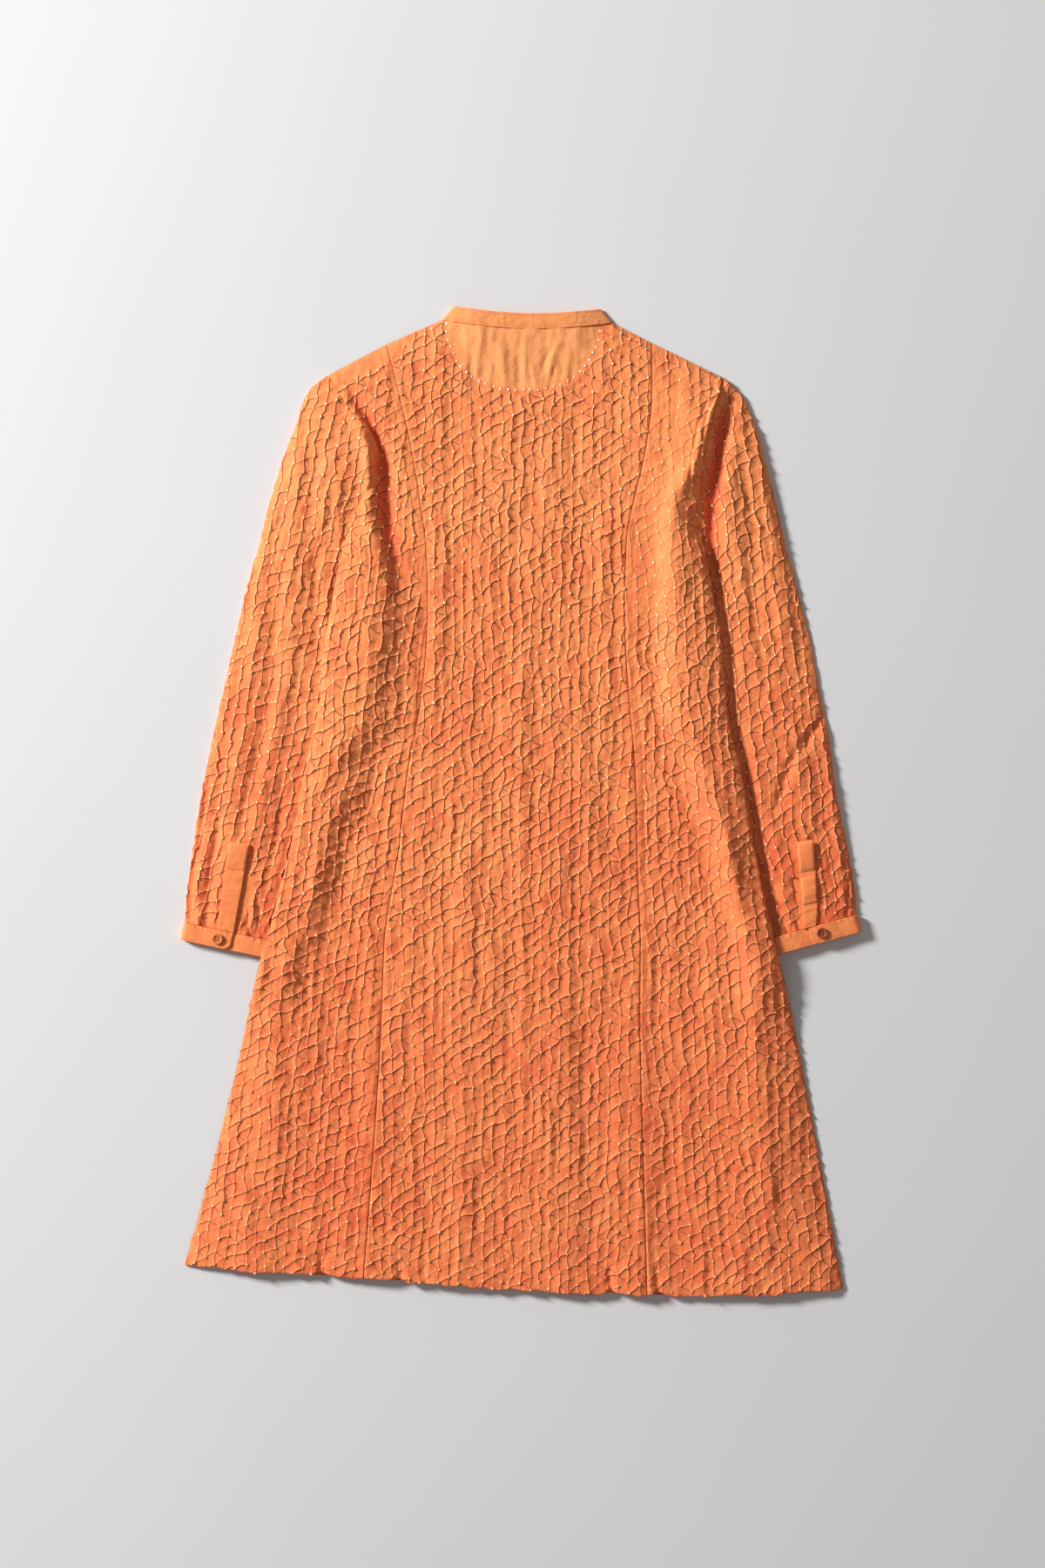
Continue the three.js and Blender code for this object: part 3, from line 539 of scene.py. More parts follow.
KNOT_SIDES = 6
KNOT_RINGS = [
    # radius, rise: the foot, the waist and the shoulder of a dot's peak
    (1.65, -0.5),
    (1.2, 0.22),
    (0.68, 0.5),
]
KNOT_TIP = 0.45
KNOT_OVAL = 0.22
KNOT_NEAR = 1.6
KNOT_SPREAD = {"height": (0.75, 1.25), "size": (0.8, 1.15), "lean": 0.25, "paleness": (0.5, 1)}
KEY_START = 5000
KEY_BASE = 100000
DOT_FADING = 380.0
DOT_FADED = 0.68


def upright_axes(normal):
    """Two directions that touch the surface at each unit normal: one across, and one towards the collar."""
    side = np.cross(np.array([0, 1.0, 0]), normal)
    side /= np.linalg.norm(side, axis=1, keepdims=True)
    return side, np.cross(normal, side)


def add_knots(name, surface, normals, u, v, lean, keep, material):
    """One small peak for each dot, set on the surface point nearest to the dot, moved along the
    surface to the dot's own place, and turned to its normal. All of a panel's peaks are one mesh."""
    distance, knot_u, knot_v = knot_distance(u, v)
    number_u, number_v = (np.round(2 * number).astype(np.int64) + KEY_START for number in (knot_u, knot_v))
    key, away = (number_u * KEY_BASE + number_v).ravel(), distance.ravel()
    order = np.lexsort((away, key))
    first = np.r_[True, key[order][1:] != key[order][:-1]]
    chosen = order[first]
    chosen = chosen[(away[chosen] < KNOT_NEAR) & keep.ravel()[chosen]]
    du = (knot_u.ravel()[chosen] - u.ravel()[chosen]) * PAIR_STEP
    dv = (knot_v.ravel()[chosen] - v.ravel()[chosen]) * DOT_STEP
    scale = 1 / np.hypot(1, lean)
    normal = normals.reshape(-1, 3)[chosen]
    side, up = upright_axes(normal)
    centre = surface.reshape(-1, 3)[chosen]
    centre = centre + side * ((du + lean * dv) * scale)[:, None] + up * ((lean * du - dv) * scale)[:, None]
    return dot_mesh(name, centre, normal, 1.0, material)


def dot_mesh(name, centre, normal, height, material, whiteness=0.0):
    """Peaks of three oval rings and a tip at the centres given. Height, size, turn, lean and paleness
    vary by chance, and the peaks fade towards the hem. Dot holds the share up the peak, how pale it
    stayed, and how white."""
    count = len(centre)
    side, up = upright_axes(normal)
    peak = height * RANDOM.uniform(*KNOT_SPREAD["height"], count)
    size = RANDOM.uniform(*KNOT_SPREAD["size"], count)
    turn = RANDOM.uniform(0, 2 * np.pi, count)
    lean_x, lean_y = RANDOM.uniform(-KNOT_SPREAD["lean"], KNOT_SPREAD["lean"], (2, count))
    angle = turn[:, None] + np.arange(KNOT_SIDES) * 2 * np.pi / KNOT_SIDES
    oval = 1 + KNOT_OVAL * np.cos(2 * angle + 3 * turn[:, None])

    def placed(*parts):
        """The centres, moved by parts along the peaks' own side, up and normal directions."""
        axes = zip((side, up, normal), parts)
        return centre[:, None] + sum(axis[:, None] * part[..., None] for axis, part in axes)
    points, tones = [], []
    for ring, (radius, rise) in enumerate(KNOT_RINGS):
        reach = (radius * size)[:, None] * oval
        x = reach * np.cos(angle) + (lean_x * ring)[:, None]
        y = reach * np.sin(angle) + (lean_y * ring)[:, None]
        points.append(placed(x, y, (rise * peak)[:, None] + 0 * x))
        tones.append(np.full((count, KNOT_SIDES), ring / len(KNOT_RINGS)))
    rings = len(KNOT_RINGS)
    points.append(placed((lean_x * rings)[:, None], (lean_y * rings)[:, None], (KNOT_TIP * peak)[:, None]))
    tones.append(np.ones((count, 1)))
    points, tones = np.concatenate(points, 1), np.concatenate(tones, 1)
    fading = mix(1, DOT_FADED, smooth((LENGTH / 2 - centre[:, 1] - DOT_FADING) / DOT_FADING))
    light = (RANDOM.uniform(*KNOT_SPREAD["paleness"], count) * fading)[:, None] + 0 * tones
    tone = np.stack([tones, light, whiteness + 0 * tones, np.ones_like(tones)], -1)
    return new_piece(name, points, knot_faces(count, points.shape[1]), material, {"Dot": tone})


def knot_faces(count, each):
    """Triangles of every peak: two for each side between neighbouring rings, and one up to the tip."""
    here = np.arange(KNOT_SIDES)
    after = (here + 1) % KNOT_SIDES
    faces = []
    for ring in range(len(KNOT_RINGS) - 1):
        low, high = ring * KNOT_SIDES, (ring + 1) * KNOT_SIDES
        faces.append(np.stack([low + here, low + after, high + after], -1))
        faces.append(np.stack([low + here, high + after, high + here], -1))
    top = (len(KNOT_RINGS) - 1) * KNOT_SIDES
    faces.append(np.stack([top + here, top + after, np.full(KNOT_SIDES, each - 1)], -1))
    return (np.concatenate(faces)[None] + (np.arange(count) * each)[:, None, None]).reshape(-1, 3)


def math_node(tree, operation, *values):
    """A math node whose inputs are numbers or sockets. Returns its output."""
    node = tree.nodes.new("ShaderNodeMath")
    node.operation = operation
    for socket, value in zip(node.inputs, values):
        if isinstance(value, (int, float)):
            socket.default_value = value
        else:
            tree.links.new(value, socket)
    return node.outputs[0]


def bell(tree, distance, width):
    """A bell across a line: e to the power of minus the square of distance/width."""
    share = math_node(tree, "DIVIDE", distance, width)
    squared = math_node(tree, "MULTIPLY", share, share)
    return math_node(tree, "EXPONENT", math_node(tree, "MULTIPLY", squared, -1.0))


def clamped(tree, value):
    """The value, kept from 0 to 1."""
    return math_node(tree, "MINIMUM", math_node(tree, "MAXIMUM", value, 0.0), 1.0)


def effect(name, inputs, outputs):
    """An empty shader node group with float inputs and outputs, given by name. The input named
    Vector is a vector."""
    group = bpy.data.node_groups.new(name, "ShaderNodeTree")
    for label in inputs:
        kind = "NodeSocketVector" if label == "Vector" else "NodeSocketFloat"
        group.interface.new_socket(label, in_out="INPUT", socket_type=kind)
    for label in outputs:
        group.interface.new_socket(label, in_out="OUTPUT", socket_type="NodeSocketFloat")
    start = group.nodes.new("NodeGroupInput")
    end = group.nodes.new("NodeGroupOutput")
    return group, start, end


# Where each tuck's painted shadow, painted highlight and crest bump lie
TUCK_MARKS = {
    # distance from the tuck's line, and width, in millimetres
    "shade": (0.55, 0.6),
    "light": (-0.65, 0.55),
    "crest": (0.0, 0.65),
}
TUCK_BUMP = 0.00055


def tuck_effect():
    """The pinched tucks along three families of lines: a thin painted shadow on the right and lower
    side of each, a painted highlight on its other side, and its sharp crest as a height in metres."""
    labels = ["Column", "Row", "Upright", "Rising", "Falling"]
    group, start, end = effect("pinched tucks", labels, ["Shade", "Light", "Height"])
    column, row = start.outputs["Column"], start.outputs["Row"]
    twice = math_node(group, "MULTIPLY", column, 2.0)
    lines = [
        (twice, COLUMN_STEP, start.outputs["Upright"]),
        (math_node(group, "ADD", row, column), SLANT_STEP, start.outputs["Rising"]),
        (math_node(group, "SUBTRACT", row, column), SLANT_STEP, start.outputs["Falling"]),
    ]
    marks = {}
    for place, step, strength in lines:
        offset = math_node(group, "SUBTRACT", place, math_node(group, "ROUND", place))
        offset = math_node(group, "MULTIPLY", offset, step)
        for mark, (centre, width) in TUCK_MARKS.items():
            away = math_node(group, "SUBTRACT", offset, centre)
            level = math_node(group, "MULTIPLY", bell(group, away, width), strength)
            marks[mark] = math_node(group, "MAXIMUM", marks[mark], level) if mark in marks else level
    group.links.new(marks["shade"], end.inputs["Shade"])
    group.links.new(marks["light"], end.inputs["Light"])
    group.links.new(math_node(group, "MULTIPLY", marks["crest"], TUCK_BUMP), end.inputs["Height"])
    return group


WEAVE_PITCH = 0.0009
WEAVE_BUMP = 0.00003
COTTON_NOISES = {
    # scale, detail
    "mottle": (55.0, 4.0),
    "crumple": (160.0, 3.0),
}
CRUMPLE_BUMP = 0.00135
MOTTLE_STRENGTH = 1.7


def cotton_effect():
    """Fine cotton: the product of two crossed sine waves of thread plus a soft noise of crumples, as
    a height in metres, and a slow noise for the mottling of the dye."""
    group, start, end = effect("fine cotton", ["Vector", "Crumple"], ["Mottle", "Height"])
    axes = group.nodes.new("ShaderNodeSeparateXYZ")
    group.links.new(start.outputs["Vector"], axes.inputs[0])
    turn = 2 * np.pi / WEAVE_PITCH
    threads = [math_node(group, "SINE", math_node(group, "MULTIPLY", axes.outputs[k], turn)) for k in (0, 1)]
    weave = math_node(group, "MULTIPLY", math_node(group, "MULTIPLY", *threads), WEAVE_BUMP)
    noises = {}
    for label, (scale, detail) in COTTON_NOISES.items():
        noise = group.nodes.new("ShaderNodeTexNoise")
        noise.inputs["Scale"].default_value = scale
        noise.inputs["Detail"].default_value = detail
        group.links.new(start.outputs["Vector"], noise.inputs["Vector"])
        noises[label] = noise.outputs["Fac"]
    crumple = math_node(group, "MULTIPLY", noises["crumple"], CRUMPLE_BUMP)
    crumple = math_node(group, "MULTIPLY", crumple, start.outputs["Crumple"])
    group.links.new(noises["mottle"], end.inputs["Mottle"])
    group.links.new(math_node(group, "ADD", weave, crumple), end.inputs["Height"])
    return group


def color_mix(tree, factor, first, second, blend="MIX"):
    """A colour mix whose factor is a number or a socket, and whose colours are either too."""
    node = tree.nodes.new("ShaderNodeMix")
    node.data_type = "RGBA"
    node.blend_type = blend
    for socket, value in ((node.inputs[0], factor), (node.inputs[6], first), (node.inputs[7], second)):
        if isinstance(value, float):
            socket.default_value = value
        elif isinstance(value, tuple):
            socket.default_value = (*value, 1)
        else:
            tree.links.new(value, socket)
    return node.outputs[2]


def add_group(tree, group, links):
    """A shader node group placed in a material, with numbers or sockets for its inputs."""
    node = tree.nodes.new("ShaderNodeGroup")
    node.node_tree = group
    for label, source in links.items():
        if isinstance(source, float):
            node.inputs[label].default_value = source
        else:
            tree.links.new(source, node.inputs[label])
    return node


ORANGE_LIGHT = (0.98, 0.30, 0.098)
ORANGE_DEEP = (0.86, 0.145, 0.052)
# TUCK_SHADE is the painted shadow and TUCK_LIGHT the painted highlight beside each tuck
TUCK_SHADE = (0.34, 0.035, 0.012)
TUCK_LIGHT = (0.98, 0.45, 0.20)
PLAIN_ORANGE = (0.96, 0.37, 0.132)
PLAIN_DEEP = (0.93, 0.30, 0.10)
CUFF_ORANGE = (0.97, 0.31, 0.10)
CUFF_DEEP = (0.93, 0.235, 0.075)
DOT_PALE = (1.0, 0.76, 0.38)
DOT_WHITE = (1.0, 0.93, 0.80)
CLOTH_ROUGHNESS = 0.82
CLOTH_SHEEN = 0.12
CLOTH_SPECULAR = 0.2
LIGHT_SHARE = 0.35
SHADE_SHARE = 0.92
CRUMPLES = {"tied": 0.8, "plain": 0.5, "dots": 0.6}
DOT_EDGE = 2.4
TUCKS = tuck_effect()
COTTON = cotton_effect()


def cloth_shader(name):
    """A new material with a matt, softly sheened cotton surface, its tree and its shader."""
    material = bpy.data.materials.new(name)
    material.use_nodes = True
    tree = material.node_tree
    shader = tree.nodes["Principled BSDF"]
    shader.inputs["Roughness"].default_value = CLOTH_ROUGHNESS
    shader.inputs["Sheen Weight"].default_value = CLOTH_SHEEN
    shader.inputs["Specular IOR Level"].default_value = CLOTH_SPECULAR
    return material, tree, shader


def add_cotton(tree, crumple):
    """The cotton effect on the piece's own coordinates, with its crumples at a share of their height."""
    place = tree.nodes.new("ShaderNodeTexCoord").outputs["Object"]
    return add_group(tree, COTTON, {"Vector": place, "Crumple": crumple})


def attribute_parts(tree, name):
    """The first three numbers of one of the mesh's colour attributes."""
    attribute = tree.nodes.new("ShaderNodeAttribute")
    attribute.attribute_name = name
    parts = tree.nodes.new("ShaderNodeSeparateXYZ")
    tree.links.new(attribute.outputs["Vector"], parts.inputs[0])
    return parts.outputs


def add_bump(tree, shader, height):
    """A height in metres, as a bump of the shader's normal."""
    bump = tree.nodes.new("ShaderNodeBump")
    bump.inputs["Distance"].default_value = 1.0
    tree.links.new(height, bump.inputs["Height"])
    tree.links.new(bump.outputs[0], shader.inputs["Normal"])


def tied_material():
    """Tie-dyed cloth. The points carry where they lie among the dots (Tie: column pairs, dots,
    redness, where a redness below 0 is plain cloth) and how hard the three families of tucks are
    pinched there (Tuck). The redness, which holds the dye's depth and the painted shade of the
    armhole folds, and the mottle mix the two oranges, and the tucks mix in their painted highlight
    and painted shadow."""
    material, tree, shader = cloth_shader("tied cotton")
    column, row, redness = attribute_parts(tree, "Tie")[:3]
    upright, rising, falling = attribute_parts(tree, "Tuck")[:3]
    strengths = {"Upright": upright, "Rising": rising, "Falling": falling}
    tucks = add_group(tree, TUCKS, {"Column": column, "Row": row, **strengths})
    cotton = add_cotton(tree, CRUMPLES["tied"])
    uneven = math_node(tree, "SUBTRACT", cotton.outputs["Mottle"], 0.5)
    uneven = math_node(tree, "MULTIPLY", uneven, MOTTLE_STRENGTH)
    # dye holds the dye's depth, the mottle and the painted shade of the armhole folds
    dye = clamped(tree, math_node(tree, "ADD", redness, uneven))
    plain = clamped(tree, math_node(tree, "MULTIPLY", redness, -1.0))
    # Painted highlight on one side of each tuck and painted shadow on the other, mixed into the colour
    light = math_node(tree, "MULTIPLY", tucks.outputs["Light"], LIGHT_SHARE)
    shade = math_node(tree, "MULTIPLY", tucks.outputs["Shade"], SHADE_SHARE)
    color = color_mix(tree, dye, ORANGE_LIGHT, ORANGE_DEEP)
    color = color_mix(tree, plain, color, PLAIN_ORANGE)
    color = color_mix(tree, light, color, TUCK_LIGHT)
    color = color_mix(tree, shade, color, TUCK_SHADE)
    tree.links.new(color, shader.inputs["Base Color"])
    add_bump(tree, shader, math_node(tree, "ADD", tucks.outputs["Height"], cotton.outputs["Height"]))
    return material


def plain_material(name, light, deep):
    """Plain dyed cloth, mottled between two colours."""
    material, tree, shader = cloth_shader(name)
    cotton = add_cotton(tree, CRUMPLES["plain"])
    tree.links.new(color_mix(tree, cotton.outputs["Mottle"], light, deep), shader.inputs["Base Color"])
    add_bump(tree, shader, cotton.outputs["Height"])
    return material


def dot_material():
    """The pale undyed dots: the colour of the cloth at the foot, mixed up the peak with the pale one
    by how pale the dot stayed, or with the white one by how white."""
    material, tree, shader = cloth_shader("tied dots")
    share, paleness, whiteness = attribute_parts(tree, "Dot")[:3]
    up = math_node(tree, "MINIMUM", math_node(tree, "MULTIPLY", share, DOT_EDGE), 1.0)
    undyed = color_mix(tree, whiteness, DOT_PALE, DOT_WHITE)
    pale = math_node(tree, "MULTIPLY", up, math_node(tree, "MAXIMUM", paleness, whiteness))
    tree.links.new(color_mix(tree, pale, ORANGE_DEEP, undyed), shader.inputs["Base Color"])
    add_bump(tree, shader, add_cotton(tree, CRUMPLES["dots"]).outputs["Height"])
    return material


TIED = tied_material()
PLAIN = plain_material("plain cotton", PLAIN_ORANGE, PLAIN_DEEP)
CUFF_PLAIN = plain_material("plain cotton of the cuffs", CUFF_ORANGE, CUFF_DEEP)
DOTS = dot_material()


def creases_at(points, creases):
    """Listed folds: along each line of plan points, the height times a bell, exp(-(distance/
    width)²). The height is one number, or one for each point of the line."""
    total = np.zeros(points.shape[:-1])
    for line, height, width in creases:
        line = np.array(line, float)
        heights = np.broadcast_to(height, len(line))
        nearest, level = np.full(points.shape[:-1], np.inf), 0
        for a, b, low, high in zip(line[:-1], line[1:], heights[:-1], heights[1:]):
            along = b - a
            t = np.clip(((points - a) @ along) / (along @ along), 0, 1)
            away = np.linalg.norm(points - a - t[..., None] * along, axis=-1)
            level = np.where(away < nearest, mix(low, high, t), level)
            nearest = np.minimum(nearest, away)
        total += level * np.exp(-(nearest / width) ** 2)
    return total


ARMHOLE_CREASES = [
    # line of plan points, height, width: the crest and the deep valley at the left armhole
    ([(-186, 82), (-170, 106), (-159.5, 126), (-155, 146), (-154, 168), (-155, 190), (-155, 215),
      (-150, 240)],
     (1, 5, 7, 7.5, 8, 5.5, 3, 1), 6.5),
    ([(-180, 84), (-163, 105), (-149, 128), (-142.5, 148), (-139.5, 170), (-138, 195), (-136, 220),
      (-131, 250), (-125, 290)],
     (-2, -6, -8, -8, -8.5, -9.5, -8, -5, -2), 8.5),
    # the crest of the right armhole, and the deep valley that it shades
    ([(211, 80), (200, 100), (190, 128), (183, 152), (172, 170)], (3.5, 5.5, 6, 5.5, 3), 9.0),
    ([(214, 86), (208, 104), (204, 125), (201, 150), (197, 180), (194, 215), (195, 255), (201, 290)],
     (-3, -7, -9.5, -9.5, -9, -8, -5, -2), 8.5),
]
BODY_CREASES = [
    # line of plan points, height, width: the right armhole's edge, its creases, and the slope beside it
    ([(209, 80), (200, 91), (194, 109), (188, 131), (184.5, 156), (184, 178), (183, 219)], 2.8, 3.6),
    ([(181, 152), (170, 171), (157, 192), (151, 228), (149, 265), (152, 305)],
     (2, 4, 4.6, 4.6, 4, 1.5), 10.0),
    ([(199, 91), (190, 108), (187, 126), (181.6, 158)], -1.8, 2.0),
    ([(191, 96), (181, 118), (175, 150), (170, 190)], -1.3, 1.8),
    ([(178, 215), (180, 250), (180, 300)], -2.4, 8.0),
    # ridges of the right shoulder's smooth slope
    ([(150, 80), (182, 112)], 1.6, 9.0),
    ([(143, 120), (168, 178)], 1.0, 8.0),
    # the soft crease down the middle, and pulls along both sides
    ([(2, 85), (4, 400), (2, 930)], 0.9, 5.0),
    ([(-125, 285), (-126, 350), (-148, 420), (-176, 480)], (-0.5, -1.2, -1.6, -1.8), 12.0),
    ([(-186, 480), (-208, 530), (-222, 590), (-244, 655), (-266, 715)], (-1.8, -2.4, -2.4, -2.2, -1.2), 9.0),
    # the crumples of the plain cloth at the neck
    ([(-18, 20), (-20, 50), (-15, 80)], 1.1, 5.0),
    ([(31, 42), (22, 61)], -1.2, 2.4),
    ([(38, 38), (28, 66)], 0.9, 3.2),
    ([(34, 63), (30, 81)], -1.0, 2.0),
    ([(3, 20), (-3, 48), (-1, 78)], -0.8, 4.0),
    ([(-52, 64), (-42, 84)], -0.9, 2.6),
    ([(-41, 28), (-44, 62)], 0.8, 4.5),
    ([(54, 30), (46, 74)], 0.9, 4.5),
    ([(12, 62), (16, 84)], 0.8, 2.6),
    ([(-30, 60), (-33, 84)], 0.7, 2.6),
    ([(196, 480), (214, 560), (226, 640)], 1.8, 7.0),
    ([(206, 540), (226, 640), (240, 760), (250, 900)], 2.0, 13.0),
    ([(-82, 250), (-90, 400), (-104, 560)], 1.0, 9.0),
    ([(70, 200), (74, 380), (90, 560)], -1.1, 8.0),
    ([(-50, 560), (-58, 760), (-66, 1000)], 1.1, 10.0),
    ([(60, 640), (66, 820), (72, 1000)], -1.2, 9.0),
    # short notches at the hem
    ([(-203, 970), (-203, 1004)], -2.2, 3.5),
    ([(-124, 976), (-122, 1004)], -2.4, 3.5),
    ([(90, 980), (92, 1006)], -2.2, 3.5),
    ([(139, 982), (140, 1008)], -2.2, 3.5),
]
CLOTH_RISE = 1.2
RELIEF_SUNK = 0.4
BACK_CLEARANCE = 0.4
EDGE_CLEARANCE = 0.15
EDGE_RADIUS = 5.0
EDGE_FADE = (-2.0, 4.0)
SEAM_STRIP = 8.0
SEAM_FOLD = 1.5
STRIP_FLATNESS = 0.5
STRIP_EASE = 1.5
SEAM_GROOVE = {"depth": 0.35, "width": 1.0}
STITCHED_LINE = {"depth": 0.3, "width": 0.8}
STRIP_PUCKER = {"height": 0.6, "size": 3.6, "squeeze": 0.25}
NECK_PALENESS = 1.0
ARMHOLE_GROOVE = {"depth": 0.5, "width": 3.0}
SMOOTH_SLOPE = {"line": [(160.0, 85), (146, 190), (130, 300)], "width": 26.0, "share": 0.65}
SMOOTH_SHOULDER = {"line": [(-196.0, 68), (-137, 37)], "reach": 13.0, "ease": 5.0, "share": 0.9}
NECK_PLAIN = {"x": 2.7, "down": 5.3, "radius": 79.2, "power": 2.4}
# Millimetres outside the neck's plain part: where its crumples fade, its plain dye and its tucks start
NECK_FADE = 6.0
NECK_DYE = (-4.0, 1.0)
NECK_TUCKS = (1.0, 5.0)
NECK_GATHER = {"least": 0.25, "reach": 12.0}
NECK_WANDER = {"reach": 6.0, "size": 24.0}
NECK_WAVES = {
    # height, slant, share of the length that counts, size, layer of noise
    "fine": (0.5, 0.3, 0.6, 7.0, 31),
    "wide": (0.9, -0.7, 0.8, 15.0, 32),
}
# What a place must have for a dot to be built there: relief, and millimetres from three edges
DOT_PLACES = {"pinch": 0.3, "inside_edge": 2.5, "past_plain": 2.0, "into_strip": 1.0}
STREAK_HEIGHT = 1.05
STREAK_WIDTH = 14.0
STREAK_STRETCH = 6.0
STREAK_FINENESS = 2.6
REDNESS = {"least": 0.1, "gain": 0.42, "start": 60.0, "reach": 800.0}
REDNESS_PATCHES = [
    # strength, size, layer of noise
    (0.16, 120, 15),
    (0.096, 38, 16),
]
# Painted shade: how much redder the cloth is coloured for each millimetre of the armhole folds' depth
VALLEY_PAINTED_SHADE = 0.14
BODY_GAINS = [(0.32, 0.64, 0.3, 0.95), (0.33, 0.62, 0.15, 1.0), (0.44, 0.7, 0.0, 0.8)]
LOW_GAINS = (0.82, 1.0, 0.8)
LOW_START = 420.0
LOW_REACH = 320.0
FLAT_SHARE = 0.25


def between(value, start, full):
    """0 at the start and before it, 1 at full and past it, eased between."""
    return smooth((value - start) / (full - start))


def neck_ring_at(points):
    """How far plan points are outside the plain part at the neck: the p-th root of |x|^p + |down|^p,
    less its radius."""
    x = abs(points[..., 0] - NECK_PLAIN["x"])
    down = np.maximum(points[..., 1] - NECK_PLAIN["down"], 0)
    power = NECK_PLAIN["power"]
    return (x ** power + down ** power) ** (1 / power) - NECK_PLAIN["radius"]


def redness_at(points):
    """The dye's depth: more towards the hem, in wide patches of soft noise."""
    x, down = points[..., 0], points[..., 1]
    patches = sum(strength * soft_noise(x, down, size, layer) for strength, size, layer in REDNESS_PATCHES)
    towards_hem = smooth((down - REDNESS["start"]) / REDNESS["reach"])
    return np.clip(REDNESS["least"] + REDNESS["gain"] * towards_hem + patches, 0, 1)


def valley_painted_shade(points):
    """Painted shade in the deep folds at the armholes: they are coloured redder, by a share for
    each millimetre of their depth.
    """
    return VALLEY_PAINTED_SHADE * np.clip(-creases_at(points, ARMHOLE_CREASES), 0, None)


def streaks_at(across, along, layer):
    """Soft uneven waves, long in one direction: wide noise plus half as much fine noise."""
    wide = soft_noise(across, along / STREAK_STRETCH, STREAK_WIDTH, layer)
    fine = soft_noise(across, along / STREAK_STRETCH, STREAK_WIDTH / STREAK_FINENESS, layer + 1)
    return STREAK_HEIGHT * (wide + 0.5 * fine)


HEM_TURNS = [np.pi * k / 5 for k in range(1, 6)]
HEM_RADIUS = 0.9
HEM_DEPTHS = [4.0, 9.0, 13.0]
HEM_ROWS = len(HEM_TURNS) + len(HEM_DEPTHS)
HEM_AIM = 8


def turned_hem(plan, height, up=1):
    """HEM_ROWS rows past the last one, which turn the cloth under (or up) in a half circle and
    carry it back inside. The way out is the way from HEM_AIM rows before the last one to it."""
    last, top = plan[-1], height[-1]
    away = last - plan[-1 - HEM_AIM]
    away /= np.linalg.norm(away, axis=-1, keepdims=True)
    rows = [(HEM_RADIUS * np.sin(a), -up * HEM_RADIUS * (1 - np.cos(a))) for a in HEM_TURNS]
    rows += [(-depth, -up * 2 * HEM_RADIUS) for depth in HEM_DEPTHS]
    plans = [last + out * away for out, _ in rows]
    heights = [top + drop for _, drop in rows]
    return np.concatenate([plan, plans]), np.concatenate([height, heights])


def past_hem(values):
    """The last row's values again, for each row that the hem adds."""
    return np.pad(values, ((0, HEM_ROWS),) + ((0, 0),) * (values.ndim - 1), mode="edge")


def with_edges(points, drops):
    """A column more at each side, straight below the edge, as the seam allowance turns down there."""
    sides = [points[:, :1].copy(), points[:, -1:].copy()]
    for side, drop in zip(sides, drops):
        side[..., 2] = np.maximum(side[..., 2] - drop, LOWEST)
    return np.concatenate([sides[0], points, sides[1]], 1)


def padded_sides(values):
    """The first and the last column again, for the columns that with_edges adds."""
    return np.pad(values, ((0, 0), (1, 1)) + ((0, 0),) * (values.ndim - 2), mode="edge")


def tie_and_tuck(u, v, redness, strength):
    """The two colour attributes that the tied cloth's material reads."""
    ones = np.ones_like(redness)
    tuck = np.concatenate([strength, ones[..., None]], -1)
    return {"Tie": np.stack([u, v, redness, ones], -1), "Tuck": tuck}


EDGE_PUCKER = 0.95
EDGE_PUCKER_REACH = 7.0
EDGE_RHYTHM = 0.4
EDGE_NOISE = {"squeeze": 0.1, "size": 6.0}
HEM_WAVES = [
    # height, size, layer of noise
    (1.5, 13, 36),
    (0.825, 5.5, 37),
]
HEM_NOTCHES = [
    # x, how far the hem is pulled up, width
    (-203, 3.4, 9),
    (-123, 3.0, 8),
    (-62, 1.6, 10),
    (22, 1.5, 9),
    (91, 3.2, 8),
    (140, 3.2, 7),
    (214, 2.0, 9),
    (276, 1.6, 8),
]
HEM_NOTCH_REACH = 15.0


def edge_noise(points, layer):
    """Noise that changes fast down the dress and slowly across it."""
    return soft_noise(points[..., 0] * EDGE_NOISE["squeeze"], points[..., 1], EDGE_NOISE["size"], layer)


def uneven_edges(plan, u, v):
    """The plan again, with the small puckers of the outline: in and out at the side seams, by a wave
    that follows the tucks plus noise, and up and down along the hem, by noise and by notches, each a
    bell across. The sewn edges inside the outline stay."""
    x, down = plan[..., 0], plan[..., 1]
    side_away = np.minimum.reduce([distance_to_line(plan, line) for line in CLOSED_LINES[:2]])
    near_side = np.exp(-(side_away / EDGE_PUCKER_REACH) ** 2)
    rhythm = EDGE_RHYTHM * np.cos(2 * np.pi * (v + u)) + edge_noise(plan, 35)
    out = np.sign(x) * near_side * EDGE_PUCKER * rhythm
    from_hem = plan[-1:, :, 1] - down
    near_hem = np.exp(-(from_hem / EDGE_PUCKER_REACH) ** 2)
    wave = sum(height * soft_noise(x, 0 * down, size, layer) for height, size, layer in HEM_WAVES)
    notch = sum(pull * np.exp(-((x - centre) / width) ** 2) for centre, pull, width in HEM_NOTCHES)
    up = notch * np.exp(-(from_hem / HEM_NOTCH_REACH) ** 2)
    return np.stack([x + out, down + near_hem * wave - up], -1)


def line_bell(distance, form):
    """A groove or ridge of the depth and width given: depth times exp(-(distance/width)²)."""
    return form["depth"] * np.exp(-(distance / form["width"]) ** 2)


def pinch_at(plan, ring, strip):
    """The share of its full relief that the tied cloth keeps: less on the strips at the seams, on the
    smooth slope of the right shoulder and on top of the left one, and none at the neck."""
    slope_away = distance_to_line(plan, np.array(SMOOTH_SLOPE["line"])) / SMOOTH_SLOPE["width"]
    slope = SMOOTH_SLOPE["share"] * np.exp(-slope_away ** 4)
    top_away = distance_to_line(plan, np.array(SMOOTH_SHOULDER["line"])) - SMOOTH_SHOULDER["reach"]
    shoulder = SMOOTH_SHOULDER["share"] * (1 - smooth(top_away / SMOOTH_SHOULDER["ease"]))
    return between(ring, *NECK_TUCKS) * (1 - STRIP_FLATNESS * strip) * (1 - slope) * (1 - shoulder)


